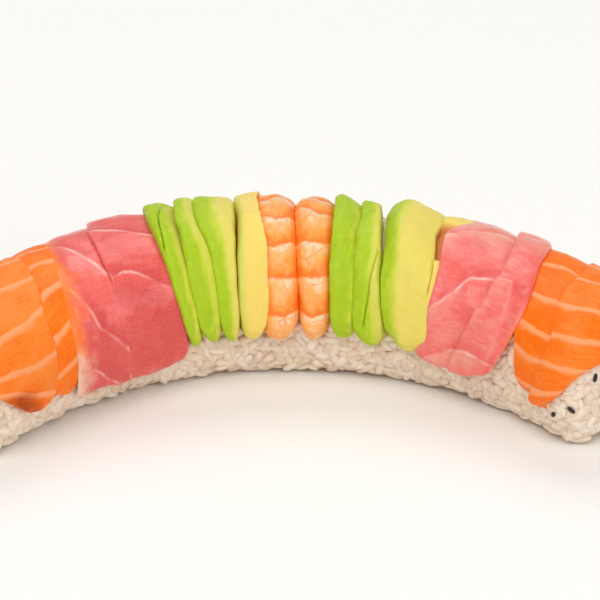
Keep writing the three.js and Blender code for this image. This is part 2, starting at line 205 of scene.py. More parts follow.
# a smooth curve through a meeting's places
def meetingAt(name, around):
    along = np.array(meetings[name][0], float)
    last = len(stations) - 1
    index = np.where(around >= stations[1], 0, np.where(around >= stations[2], 1, 2))
    before = np.maximum(np.arange(last + 1) - 1, 0)
    after = np.minimum(np.arange(last + 1) + 1, last)
    slope = (along[after] - along[before]) / (stations[before] - stations[after])
    span = stations[index] - stations[index + 1]
    share = (stations[index] - around) / span
    square, cube = share ** 2, share ** 3
    place = ((2 * cube - 3 * square + 1) * along[index] + (cube - 2 * square + share) * span * slope[index]
             + (3 * square - 2 * cube) * along[index + 1] + (cube - square) * span * slope[index + 1])
    if name in meetingSwings:
        middle, reach, most = meetingSwings[name]
        place = place + most * np.exp(-((around - middle) / reach) ** 2)
    return place + ripple(0.0, around, seedOf(name), wallWaver, *waverMm)


def wallAt(name, around, height, side):
    _, lean, level = meetings[name]
    half = wallPress / 2 * math.hypot(1.0, lean / level)
    return meetingAt(name, around) + lean * (1.0 - height / level) - side * half


# What a user would change on each slice. Ends are round the roll, heights are at the left wall, the
# crest and the right wall, lowHeights are those on the front. An edge starts at a height and rounds
# up over a reach, or thins out to it, and may fade below a place round the roll. Lines are the
# markings, as places along and round the roll. Forms raise, lower or tint part of the face: across
# its width at the lower and the upper end of a stretch round the roll. The anchor is the part of the
# width that runs on to the ends unrounded. Trims move a wall below a place round the roll. Pairs for
# green, the share of an avocado's width that is green, for least, the green left over, and for
# through, how far in what lies below shines through, are at the crown and on the front.
slices = [
    {"name": "salmon_left_outer", "kind": "salmon", "walls": ("leftEnd", "salmonLeft"), "ends": (-46, 42),
     "heights": (3.0, 3.9, 4.1), "crest": 0.6, "columns": 100, "tone": 0.3,
     "edges": ({"start": 0.6, "reach": 2.0}, {"start": 3.4, "reach": 1.8, "thin": True}),
     "lines": (((-110, 12), (-90, 10), (-75, 6.5)), ((-115, -1), (-98, -2), (-86, -4), (-78, -5)),
               ((-118, -20), (-103, -19), (-94, -17.6), (-84, -15)),
               ((-118, -27), (-106, -28.2), (-97, -29), (-88, -27.8)),
               ((-116, -31), (-105, -34.2), (-97, -38), (-89, -40.3))),
     # the form paints a brown stain low on the front, partly painted shade
     "forms": ({"around": (-47, -34.2), "low": (-0.15, 0.7), "high": (-0.15, 0.5), "soft": (0.3, 2.6),
                "tint": -1.0},)},
    {"name": "salmon_left_inner", "kind": "salmon", "walls": ("salmonLeft", "tunaLeft"), "ends": (-45, 40),
     "heights": (3.5, 3.9, 3.5), "crest": 0.5, "columns": 26,
     "lines": (((-72, 10.8), (-68, 8)), ((-75.5, 0), (-71.5, -1)), ((-81.5, -12), (-74.5, -10.8)),
               ((-87, -25), (-77.5, -21.8)), ((-89, -36), (-81, -33)))},
    {"name": "tuna_left_outer", "kind": "tuna", "walls": ("tunaLeft", "tunaFold"), "ends": (-50, 42),
     "heights": (4.1, 4.0, 3.4), "lowHeights": (4.2, 4.2, 4.1), "crest": 0.4,
     "edges": ({"start": 3.4, "reach": 6.0, "thin": True}, {}), "through": ((4.0, 11.0), (0.0, 0.0)),
     "anchor": 1.0, "tip": 6.0, "tipWidth": 0.8, "deepFoot": -0.5, "lineTurn": -57.0,
     "lines": (((-68, 8.8), (-64.5, 2.8), (-63, -3.2), (-61.5, -8), (-60, -15.5)),
               ((-74.5, -11.2), (-71.5, -18.5), (-68.5, -27.8), (-63, -33.2), (-56, -41.8)),
               ((-81.5, -31.5), (-75.5, -36.5), (-67.5, -44.2), (-61, -49.5)))},
    {"name": "tuna_left_inner", "kind": "tuna", "walls": ("tunaFold", "fanLeft"), "ends": (-50, 42),
     "heights": (4.7, 4.6, 4.0), "lowHeights": (4.1, 4.2, 4.0), "crest": 0.4,
     "edges": ({"start": 3.3, "reach": 2.2, "above": -14.0}, {}),
     "anchor": 0.0, "tone": -0.4, "paintedTopLight": 0.25, "deepFoot": -0.1, "lineTurn": -35.0,
     "lines": (((-53.5, 3.5), (-48.5, 0.2), (-44, -3.8)),
               ((-57, -16.5), (-54.5, -15.8), (-50, -17.5), (-47, -19.8), (-44, -21.8)))},
    {"name": "avocado_left_1", "kind": "avocado", "walls": ("fanLeft", "fanLeftTwo"), "ends": (-43, 38),
     "heights": (3.6, 6.9, 3.6), "lowHeights": (3.9, 5.6, 4.9), "crest": 0.42, "fall": 2.4,
     "green": (0.8, 0.8), "least": (0.2, 0.5),
     "forms": ({"around": (-13.5, 14), "low": (0.24, 0.28), "high": (0.84, 0.88), "soft": (0.03, 1.6),
                "rise": -1.6},)},
    {"name": "avocado_left_2", "kind": "avocado", "walls": ("fanLeftTwo", "fanLeftThree"),
     "ends": (-42, 38), "heights": (3.3, 7.0, 5.8), "lowHeights": (4.6, 5.9, 5.0), "crest": 0.4,
     "fall": 2.0, "green": (0.66, 0.8), "least": (0.3, 0.45)},
    {"name": "avocado_left_3", "kind": "avocado", "walls": ("fanLeftThree", "fanGap"), "ends": (-43, 38),
     "heights": (5.0, 7.1, 6.0), "lowHeights": (4.7, 6.0, 5.4), "crest": 0.3, "wallPaintedShade": -1.0,
     "edges": ({}, {"start": 4.2, "reach": 0.8}), "green": (0.5, 0.64), "least": (0.2, 0.24)},
    {"name": "avocado_left_4", "kind": "avocadoYellow", "walls": ("yellowSlice", "prawnLeft"),
     "ends": (-42, 37), "heights": (6.9, 7.5, 8.0), "lowHeights": (6.3, 6.6, 5.9), "crest": 0.5,
     "edges": ({"start": 5.6, "reach": 0.6}, {"start": 5.0, "reach": 0.8}), "wallPaintedShade": -1.0,
     "forms": ({"around": (-4.5, 60), "low": (-1, 2), "high": (-1, 2), "soft": (0.08, 0.3), "rise": -0.55,
                "tint": 0.25},)},
    {"name": "prawn_left", "kind": "prawn", "walls": ("prawnLeft", "prawnSeam"), "ends": (-43, 38),
     "heights": (5.4, 6.0, 3.6), "crest": 0.4, "edges": ({}, {"start": 2.4, "reach": 2.0}),
     "lines": (((-9.5, 5.8), (-7.5, 5.2), (-5.5, 7), (-2.5, 10.2), (-0.5, 8.5)),
               ((-9.5, -3.8), (-7.5, -4), (-4.5, -5.8), (-2.5, -4.8), (1, -2.8)),
               ((-8.5, -14.8), (-6.5, -15.2), (-3, -14.5), (1.5, -12.8)),
               ((-7.5, -23.5), (-4, -23.8), (-1, -23.5), (2.5, -23.2)),
               ((-7.5, -33), (-2.5, -33.6), (1.5, -32.4)))},
    {"name": "prawn_right", "kind": "prawn", "walls": ("prawnSeam", "fanRight"), "ends": (-43, 38),
     "heights": (3.7, 5.6, 3.6), "crest": 0.46,
     "edges": ({"start": 2.4, "reach": 2.0}, {"start": 3.0, "reach": 1.4}),
     "lines": (((3, 3), (5.5, 1), (8.5, -2), (12, 0)),
               ((3, -13), (6.5, -13.8), (9.5, -13.8), (12.5, -13.2)),
               ((3.5, -23.2), (7, -23.4), (12, -23)), ((4.5, -33), (8.5, -33.8), (12, -33)))},
    {"name": "avocado_right_1", "kind": "avocado", "walls": ("fanRight", "fanRightTwo"), "ends": (-42, 38),
     "heights": (4.4, 6.5, 2.8), "lowHeights": (4.2, 5.6, 4.6), "crest": 0.42, "fall": 2.0,
     "edges": ({"start": 3.2, "reach": 1.2}, {}), "green": (0.92, 1.0), "least": (0.48, 0.5)},
    {"name": "avocado_right_2", "kind": "avocado", "walls": ("fanRightTwo", "fanSplit"), "ends": (-43, 38),
     "heights": (3.4, 5.2, 4.6), "lowHeights": (4.3, 5.6, 4.9), "crest": 0.4,
     "edges": ({}, {"start": 4.0, "reach": 0.7}), "green": (0.76, 0.7), "least": (0.3, 0.34),
     "forms": ({"around": (-36, -14), "low": (0.38, 0.42), "high": (0.93, 0.97), "soft": (0.03, 2.0),
                "rise": -1.3},)},
    {"name": "avocado_right_3", "kind": "avocado", "walls": ("fanRightThree", "tuckedSlice"),
     "ends": (-43, 38), "heights": (2.6, 6.8, 2.9), "lowHeights": (4.3, 5.7, 4.4), "crest": 0.36,
     "rim": 1.4, "edges": ({}, {"start": 3.0, "reach": 1.2}), "trimRight": (-23.0, 0.4), "wallPaintedShade": -1.0,
     "green": (0.34, 0.27), "greenSoft": 0.25, "least": (0.16, 0.16)},
    {"name": "avocado_right_4", "kind": "avocadoYellow", "walls": ("tuckedSlice", "tunaRight"),
     "ends": (-36, 36), "heights": (3.9, 4.2, 3.8), "lowHeights": (4.3, 4.6, 3.6), "crest": 0.5,
     "edges": ({"start": 2.6, "reach": 1.0}, {}),
     # the dip is painted brown shade, a shaded pocket beside the tuna
     "forms": ({"around": (-13, 3.5), "low": (-1, 2), "high": (-1, 2), "soft": (0.1, 2.2), "rise": -3.3,
                "tint": -1.0},)},
    {"name": "tuna_right_inner", "kind": "tuna", "walls": ("tunaRight", "tunaRidge"), "ends": (-46, 42),
     "heights": (4.5, 4.2, 2.8), "lowHeights": (4.4, 4.4, 4.0), "crest": 0.35,
     "edges": ({"start": 3.9, "reach": 2.2}, {}), "anchor": 1.0, "tip": 6.0, "tipWidth": 0.8,
     "paintedTopLight": 0.75, "paleRim": 0.35, "deepFoot": 0.25, "lineTurn": 40.0,
     "lines": (((47, -4), (52, 4), (62, 8)),
               ((48.5, -29.2), (54.5, -24.2), (58, -19.8), (60.5, -16.2), (64, -14.2), (68, -12)),
               ((50, -42.5), (56, -39), (60.5, -37), (64, -36)))},
    {"name": "tuna_right_outer", "kind": "tuna", "walls": ("tunaRidge", "salmonRight"), "ends": (-46, 42),
     "heights": (4.7, 5.5, 4.5), "lowHeights": (4.1, 4.2, 4.2), "crest": 0.5, "paintedTopLight": 0.6,
     "edges": ({"start": 3.3, "reach": 1.8, "above": -16.0}, {"start": 3.4, "reach": 2.0}),
     "anchor": 0.0, "tip": 5.0, "tipWidth": 0.85, "bow": 4.5,
     "through": ((0.0, 0.0), (2.5, 3.0)), "throughMost": 0.55, "lineTurn": 0.0,
     "lines": (((60, -37.2), (65.5, -35.8), (72, -35.5), (76, -36.2)),),
     "forms": ({"around": (-60, -12.3), "low": (-1, 1.15), "high": (-1, 0.5), "soft": (0.05, 0.9),
                "rise": 0.9, "tint": 0.3},)},
    {"name": "salmon_right_inner", "kind": "salmon", "walls": ("salmonRight", "salmonStep"),
     "ends": (-41, 40), "heights": (3.5, 3.8, 3.5), "crest": 0.5, "columns": 32,
     "tone": -0.15, "trimLeft": (-24.0, 0.7),
     "lines": (((68.5, 13.2), (77, 16)), ((73.5, 1.2), (77.5, 3.3), (83.5, 3.6)),
               ((79, -11.8), (84, -11.4), (90, -10.8)), ((82, -20.2), (89, -21.2), (94, -20.8)),
               ((85.5, -27.6), (91.5, -29), (93.5, -28.5)), ((88.5, -37.2), (93.5, -37.5)))},
    {"name": "salmon_right_outer", "kind": "salmon", "walls": ("salmonStep", "rightEnd"), "ends": (-45, 42),
     "heights": (4.6, 4.8, 3.0), "lowHeights": (4.1, 4.1, 3.0), "crest": 0.4, "columns": 84,
     "anchor": 0.0, "tip": 7.0, "tipWidth": 0.6, "bow": 4.0,
     "edges": ({"start": 3.4, "reach": 1.8, "thin": True}, {"start": 0.6, "reach": 2.0}),
     "lines": (((80, 10.2), (85, 12.2), (105, 14)), ((85, 0), (89.5, 1.5), (92, 3), (106, 5.5)),
               ((91, -12), (96.5, -10.5), (100, -7.8), (112, -5)),
               ((94, -20), (98, -19.5), (101, -18.2), (104, -15.4), (115, -12)),
               ((94, -28), (100, -27.7), (103.5, -26.5), (114, -21)),
               ((88.5, -37.2), (93.5, -37.5), (98, -36.5), (102.5, -34.8)))},
]

# How each food is cut: fineness of the mesh, rounding of its ends, unevenness, dents, and how far apart
# its markings go on beyond those given
foods = {
    "salmon": {"slot": "salmon", "columns": 34, "rows": 130, "tip": 9.0, "tipWidth": 0.62, "bow": 1.2,
               "ripple": 0.2, "dents": 0.06, "repeat": 10.0},
    "tuna": {"slot": "tuna", "columns": 46, "rows": 140, "tip": 8.0, "tipWidth": 0.62, "bow": 1.2,
             "ripple": 0.24, "dents": 0.1},
    "avocado": {"slot": "avocado", "columns": 32, "rows": 120, "tip": 10.0, "tipWidth": 0.4, "bow": 1.6,
                "ripple": 0.26, "dents": 0.17},
    "avocadoYellow": {"slot": "avocado_yellow", "columns": 32, "rows": 130, "tip": 10.0, "tipWidth": 0.4,
                      "bow": 1.6, "ripple": 0.24, "dents": 0.12, "green": (0.0, 0.0), "least": (0.0, 0.0)},
    "prawn": {"slot": "prawn", "columns": 36, "rows": 150, "tip": 9.0, "tipWidth": 0.45, "bow": 1.6,
              "ripple": 0.16, "dents": 0.08, "repeat": 10.5},
}
# what a slice has where neither it nor its food says otherwise
plainSlice = {
    "anchor": 0.5, "edges": ({}, {}), "forms": (), "trimLeft": (0.0, 0.0), "trimRight": (0.0, 0.0),
    "rim": 2.0, "fall": 1.35,               # how full an avocado's rim is, and how late it falls off
    "lineTurn": 0.0,                        # degrees that the markings are turned by
    "greenSoft": 0.3, "through": (), "throughMost": 1.0,
    # a slice's pale crown is painted light: paler where more light falls from above
    "tone": 0.0, "paintedTopLight": 0.0, "deepFoot": 0.0, "paleRim": 0.0, "wallPaintedShade": 0.0,  # positive is paler
}
slices = [{**plainSlice, **foods[piece["kind"]], **piece} for piece in slices]
# how every slice is finished
sliceMake = {
    "columnPull": 0.55, "rowPull": 0.5,     # how much closer the mesh is near its edges
    "bowPower": 2.2,                        # across fish and prawns
    "endUneven": 0.5, "endSpan": 22.0,      # cut ends, and the width that their waves are laid over
    "evenNear": 3.0,                        # how soon they begin beside the anchor
    "endThick": 0.32, "thickRise": 1.1,     # share of the height left at the ends, and how soon it rises
    "cutRound": 1.3, "cutFoot": 0.25,       # cut face of an end, rounded over this far from this height
    "level": 4.0,                           # height that widths and markings are taken at
    "rippleSeed": 12,                       # the same unevenness runs on from slice to slice
    "dentMm": (2.5, 7.0),                   # shortest and longest of the small dents
    "pillowMm": 0.6, "pillowPower": 0.6, "pillowMean": 0.55,    # a prawn's segments between their creases
    "rimMm": (0.5, 6.0),                    # a pale rim reaches this far in
    "edgeFade": 9.0,
    "endLift": 0.4, "endLiftReach": 4.0,    # underside clears the rounded ends of the rice
    "thinnest": 0.2,
    "sharpAngle": 62.0,
}
# where round the roll a change between front and crown begins and ends
fades = {"lowHeights": (-24.0, -9.0), "green": (-26.0, 0.0), "paintedTopLight": (-14.0, 6.0),
         "deepFoot": (-34.0, -14.0), "paleRim": (-16.0, -4.0), "through": (-16.0, 0.0)}
# spacing of single markings, the fewest millimetres between two, the share of a spacing that is counted
# past the outermost, and how many go on above the first
lineMake = {"apart": 24.0, "closest": 0.5, "past": 0.45, "more": 4}


# avocado has a rounded rim on its left and slopes off to the right, the others are evenly bowed
def heightAcross(piece, heights, share):
    left, top, right = heights
    crest = piece["crest"]
    rimAway = np.clip(1.0 - share / crest, 0.0, 1.0)
    slopeAway = np.clip((share - crest) / (1.0 - crest), 0.0, 1.0)
    if piece["kind"] == "avocado":
        rim = mix(left, top, (1.0 - rimAway ** piece["rim"]) ** (1.0 / piece["rim"]))
        slope = mix(top, right, slopeAway ** piece["fall"])
    else:
        power = sliceMake["bowPower"]
        rim, slope = mix(top, left, rimAway ** power), mix(top, right, slopeAway ** power)
    return np.where(share < crest, rim, slope)


# a slice's two walls, trimmed
def wallsOf(piece, around, height):
    walls = []
    for name, side, key in zip(piece["walls"], (1, -1), ("trimLeft", "trimRight")):
        below, rate = piece[key]
        walls.append(wallAt(name, around, height, side) + np.maximum(below - around, 0.0) * rate)
    return walls


# share of a slice's width left near its rounded ends
def widthNear(piece, inside):
    close = np.clip(1.0 - inside / piece["tip"], 0.0, 1.0)
    roundOff = np.sqrt(1.0 - close ** 2)
    return mix(piece["tipWidth"], 1.0, roundOff), roundOff


# evenly spaced shares, drawn closer at both ends
def closeAtEnds(count, pull):
    even = np.linspace(0.0, 1.0, count + 1)
    return mix(even, 0.5 - 0.5 * np.cos(math.pi * even), pull)


# counts up by one from each marking to the next, and gives their distance apart
def layLines(piece, along, around):
    turn = math.radians(piece["lineTurn"])
    apart, past = piece.get("repeat", lineMake["apart"]), lineMake["past"]
    down = along * math.cos(turn) + around * math.sin(turn)
    over = around * math.cos(turn) - along * math.sin(turn)
    rows = []
    for line in piece["lines"]:
        points = np.array(line, float)
        pointDown = points[:, 0] * math.cos(turn) + points[:, 1] * math.sin(turn)
        pointOver = points[:, 1] * math.cos(turn) - points[:, 0] * math.sin(turn)
        order = np.argsort(pointDown)
        rows.append(np.interp(down, pointDown[order], pointOver[order]))
    if "repeat" in piece:
        rows = [rows[0] + apart * k for k in range(lineMake["more"], 0, -1)] + rows
    rows = np.array(rows)
    above, below = np.maximum(over - rows[0], 0.0), np.maximum(rows[-1] - over, 0.0)
    spacing = np.maximum(rows[:-1] - rows[1:], lineMake["closest"])
    count = np.clip((rows[:-1] - over) / spacing, 0.0, 1.0).sum(0) if len(rows) > 1 else 0.0 * over
    pitch = np.full_like(over, apart)
    for k in range(len(rows) - 1):
        pitch = np.where((count > k) & (count < k + 1), spacing[k], pitch)
    return count - np.minimum(above / apart, past) + np.minimum(below / apart, past), pitch


# a slice's markings, or the green of an avocado
def markOver(piece, share, along, around):
    if "lines" in piece:
        return layLines(piece, along, around)
    down = 1.0 - smoothStep(*fades["green"], around)
    green, least = mix(*piece["green"], down), mix(*piece["least"], down)
    soft = piece["greenSoft"]
    return np.maximum(1.0 - smoothStep(green - soft, green + soft, share), least), 0.0 * around


# paler or deeper: all over, painted light making the crown paler, down the front and beside the left edge
def tintOver(piece, fromLeft, around):
    tint = piece["tone"] + piece["paintedTopLight"] * smoothStep(*fades["paintedTopLight"], around)
    tint = tint + piece["deepFoot"] * (1.0 - smoothStep(*fades["deepFoot"], around))
    nearRim = (1.0 - smoothStep(*sliceMake["rimMm"], fromLeft)) * smoothStep(*fades["paleRim"], around)
    return tint + piece["paleRim"] * nearRim


# how much of what lies below shines through near the walls
def throughOver(piece, away, around):
    through = 0.0 * around
    for (crown, low), fromWall in zip(piece["through"], away):
        deep = np.maximum(mix(low, crown, smoothStep(*fades["through"], around)), 0.01)     # never nought
        through = np.maximum(through, (1.0 - fromWall / deep) * piece["throughMost"])
    return np.clip(through, 0.0, 1.0)


# brings the face down to its two edges
def roundEdges(piece, height, thick, away, around):
    seat = rollShape["seat"]
    for edge, fromWall in zip(piece["edges"], away):
        if edge:
            start = np.minimum(seat + (edge["start"] - seat) * thick, height)
            near = np.clip(1.0 - fromWall / edge["reach"], 0.0, 1.0)
            bulge = smoothStep(1.0, 0.0, near) if "thin" in edge else np.sqrt(1.0 - near ** 2)
            fade = 1.0
            if "above" in edge:
                fade = smoothStep(edge["above"] - sliceMake["edgeFade"], edge["above"], around)
            height = mix(height, mix(start, height, bulge), fade)
    return height


def meshObject(name, points, faces, fields, material):
    mesh = bpy.data.meshes.new(name)
    faces = np.asarray(faces, np.int32)
    corners = faces.shape[1]
    mesh.vertices.add(len(points))
    mesh.vertices.foreach_set("co", (np.asarray(points) * 0.001).astype(np.float32).ravel())
    mesh.loops.add(faces.size)
    mesh.loops.foreach_set("vertex_index", faces.ravel())
    mesh.polygons.add(len(faces))
    mesh.polygons.foreach_set("loop_start", np.arange(0, faces.size, corners, dtype=np.int32))
    mesh.update(calc_edges=True)
    mesh.validate()
    for field, values in fields.items():
        values = np.asarray(values, np.float32)
        kind, key = ("FLOAT_VECTOR", "vector") if values.ndim == 2 else ("FLOAT", "value")
        mesh.attributes.new(field, kind, "POINT").data.foreach_set(key, values.ravel())
    mesh.shade_smooth()
    mesh.materials.append(material)
    thing = bpy.data.objects.new(name, mesh)
    bpy.context.scene.collection.objects.link(thing)
    return thing


def quadsOf(index):
    return np.stack([index[:-1, :-1], index[:-1, 1:], index[1:, 1:], index[1:, :-1]], -1).reshape(-1, 4)


# an upper and a lower grid of points, closed all round
def gridFaces(rows, columns):
    index = np.arange(rows * columns).reshape(rows, columns)
    under = rows * columns
    upper = quadsOf(index)
    lower = upper[:, [0, 3, 2, 1]] + under
    rim = np.concatenate([index[0, :-1], index[:-1, -1], index[-1, :0:-1], index[:0:-1, 0]])
    after = np.roll(rim, -1)
    return np.concatenate([upper, lower, np.stack([rim, rim + under, after + under, after], 1)])


def sliceMesh(piece, material):
    front, back = piece["ends"]
    seat, seed = rollShape["seat"], sliceMake["rippleSeed"]
    share = closeAtEnds(piece["columns"], sliceMake["columnPull"])[None, :]
    run = closeAtEnds(piece["rows"], sliceMake["rowPull"])[:, None]
    # the ends are bowed and aren't cut quite square
    anchor = piece["anchor"]
    aside = np.abs(share - anchor) / max(anchor, 1.0 - anchor)
    endSeed = seedOf(piece["name"]) + 5
    uneven = ripple(share * sliceMake["endSpan"], 0.0 * share, endSeed, sliceMake["endUneven"])
    bow = piece["bow"] * aside ** 2 + uneven * np.minimum(sliceMake["evenNear"] * aside, 1.0)
    around = mix(front + bow, back - bow, run)
    inside = np.minimum(around - around[:1], around[-1:] - around)
    width, roundOff = widthNear(piece, inside)
    thick = mix(sliceMake["endThick"], 1.0, np.minimum(1.0, roundOff * sliceMake["thickRise"]))
    spread = anchor + (share - anchor) * width

    def place(above):
        return mix(*wallsOf(piece, around, above), spread)

    level = np.full_like(around, sliceMake["level"])
    along = place(level)
    left, right = wallsOf(piece, around, level)
    wide = (right - left) * width
    away = share * wide, (1.0 - share) * wide           # from the left and the right wall
    height = heightAcross(piece, piece["heights"], share) + 0.0 * around
    if "lowHeights" in piece:
        low = heightAcross(piece, piece["lowHeights"], share)
        height = mix(low, height, smoothStep(*fades["lowHeights"], around))
    height = height + ripple(along, around, seed, piece["ripple"])
    height = height + ripple(along, around, seed + 1, piece["dents"], *sliceMake["dentMm"])
    band, pitch = markOver(piece, share, along, around)
    if piece["kind"] == "prawn":
        part = np.mod(band, 1.0)
        pillow = (4.0 * part * (1.0 - part)) ** sliceMake["pillowPower"] - sliceMake["pillowMean"]
        height = height + sliceMake["pillowMm"] * pillow
    tint = tintOver(piece, away[0], around)
    for form in piece["forms"]:
        bottom, top = form["around"]
        up = np.clip((around - bottom) / (top - bottom), 0.0, 1.0)
        softAcross, softAround = form["soft"]
        low, high = mix(form["low"][0], form["high"][0], up), mix(form["low"][1], form["high"][1], up)
        inForm = window(low, high, softAcross, share) * window(bottom, top, softAround, around)
        height = height + form.get("rise", 0.0) * inForm
        tint = tint + form.get("tint", 0.0) * inForm
    height = roundEdges(piece, seat + (height - seat) * thick, thick, away, around)
    cutBulge = np.sqrt(1.0 - np.clip(1.0 - inside / sliceMake["cutRound"], 0.0, 1.0) ** 2)
    height = mix(seat + sliceMake["cutFoot"], height, cutBulge)
    lowerAlong = place(np.full_like(height, seat))
    reach, lift = reachAt(lowerAlong), sliceMake["endLiftReach"]
    under = seat + sliceMake["endLift"] * smoothStep(reach - lift, reach + lift, np.abs(lowerAlong))
    height = np.maximum(height, under + sliceMake["thinnest"])
    upper = abovePoint(place(height), around, height)
    lower = abovePoint(lowerAlong, around, under)

    def both(above, below):
        return np.concatenate([above.ravel(), below.ravel()])

    rim = np.minimum(np.minimum(*away), inside)
    through = throughOver(piece, away, around)
    # a wall's tint runs down to its lower face, so some avocado walls fade into painted brown shade in their
    # crevices
    fields = {
        "spot": np.stack([both(along, along), both(around, around), both(height, under)], 1),
        "band": both(band, band), "pitch": both(pitch, pitch), "rim": both(rim, rim),
        "through": both(through, through), "tint": both(tint, tint + piece["wallPaintedShade"]),
    }
    points = np.concatenate([upper.reshape(-1, 3), lower.reshape(-1, 3)])
    thing = meshObject(piece["name"] + ".cut", points, gridFaces(*height.shape), fields, material)
    thing.data.set_sharp_from_angle(angle=math.radians(sliceMake["sharpAngle"]))
    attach(thing, "root")
    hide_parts(piece["name"])


print("stage: materials")


def linearColour(text):
    parts = [int(text[i:i + 2], 16) / 255.0 for i in (1, 3, 5)]
    return [p / 12.92 if p <= 0.04045 else ((p + 0.055) / 1.055) ** 2.4 for p in parts] + [1.0]


# adds a node, sets it, links or sets its inputs, and gives its first output in use or the one named
def addNode(tree, kind, inputs=None, out=None, **settings):
    node = tree.nodes.new("ShaderNode" + kind)
    for name, value in settings.items():
        setattr(node, name, value)
    for key, value in (inputs or {}).items():
        if isinstance(value, bpy.types.NodeSocket):
            tree.links.new(value, node.inputs[key])
        else:
            node.inputs[key].default_value = linearColour(value) if isinstance(value, str) else value
    return node.outputs[out] if out else next((socket for socket in node.outputs if socket.enabled), None)


# settings that many nodes share
times, plus, timesPlus = {"operation": "MULTIPLY"}, {"operation": "ADD"}, {"operation": "MULTIPLY_ADD"}
larger, positive, afterPoint = {"operation": "MAXIMUM"}, {"operation": "ABSOLUTE"}, {"operation": "FRACT"}
eased = {"interpolation_type": "SMOOTHSTEP"}        # of a MapRange: its inputs 1 and 2 are From, 4 is To Max
colours = {"data_type": "RGBA"}                     # of a Mix
touchMm = 2.2                                       # from a slice's edge to where light goes in freely


def setStops(ramp, stops):
    points = ramp.node.color_ramp.elements
    while len(points) < len(stops):
        points.new(0.5)
    for point, (at, colour) in zip(points, stops):
        point.position = at
        point.color = linearColour(colour)


# a material, what adds nodes to it, and its shader
def startMaterial(name, fixed):
    material = bpy.data.materials.new(name)
    material.use_nodes = True
    tree = material.node_tree
    tree.nodes.clear()
    shader = addNode(tree, "BsdfPrincipled", fixed).node
    addNode(tree, "OutputMaterial", {"Surface": shader.outputs["BSDF"]})
    return material, partial(addNode, tree), shader


def linkTo(shader, sockets):
    for name, socket in sockets.items():
        shader.id_data.links.new(socket, shader.inputs[name])


# light goes in less where slices touch, as their sides lie in the dark
def letLightIn(add, shader, most):
    rim = add("Attribute", out="Fac", attribute_name="rim")
    linkTo(shader, {"Subsurface Weight": add("MapRange", {0: rim, 2: touchMm, 4: most})})


# millimetres below the nearest marking, less than nothing above it, and the count; markings wander a bit
def markingDistance(add, wander, amount):
    band = add("Attribute", out="Fac", attribute_name="band")
    pitch = add("Attribute", out="Fac", attribute_name="pitch")
    shift = add("Math", {0: wander, 1: -0.5}, **plus)
    moved = add("Math", {0: shift, 1: amount, 2: band}, **timesPlus)
    near = add("Math", {0: moved, 1: 0.5}, **plus)
    part = add("Math", {0: near}, **afterPoint)
    centred = add("Math", {0: part, 1: -0.5}, **plus)
    return add("Math", {0: centred, 1: pitch}, **times), moved


# weights are how much each pattern counts towards paler or deeper
salmonLook = {
    # the stain's browns are partly a real brown spot, partly painted shade over the foot
    "flesh": "#FB7208", "fleshPale": "#FF8A34", "fat": "#FFA26A", "stainAndShade": "#BE4E00", "brownAndShade": "#862E00",
    "lineMm": 2.5,                      # width of a pale line of fat
    "wanderMm": 7.69, "wander": 0.2,    # length of its ups and downs, and their size in spacings
    "unevenMm": 4.17,                   # from wide to narrow along it
    "fibreMm": 0.8,                     # muscle fibres, drawn a little coarse so that they show
    "fibreSlow": 0.16, "fibreRows": 9.0,            # drawn out along the fat, and rows from line to line
    "cloudMm": 7.14,                    # paler and deeper patches
    "speckMm": 0.7,                     # fine grain of the cut, coarse for the same reason
    "fibreWeight": 0.8, "speckWeight": 0.7, "tintWeight": 0.6, "pale": (1.0, 1.63),
    "stainedAndShaded": (-0.05, -0.85), "stainAndShadeMost": 0.9, "veinWeight": -0.9, "veined": (-1.68, -2.25),
    "lightIn": 0.3,
}


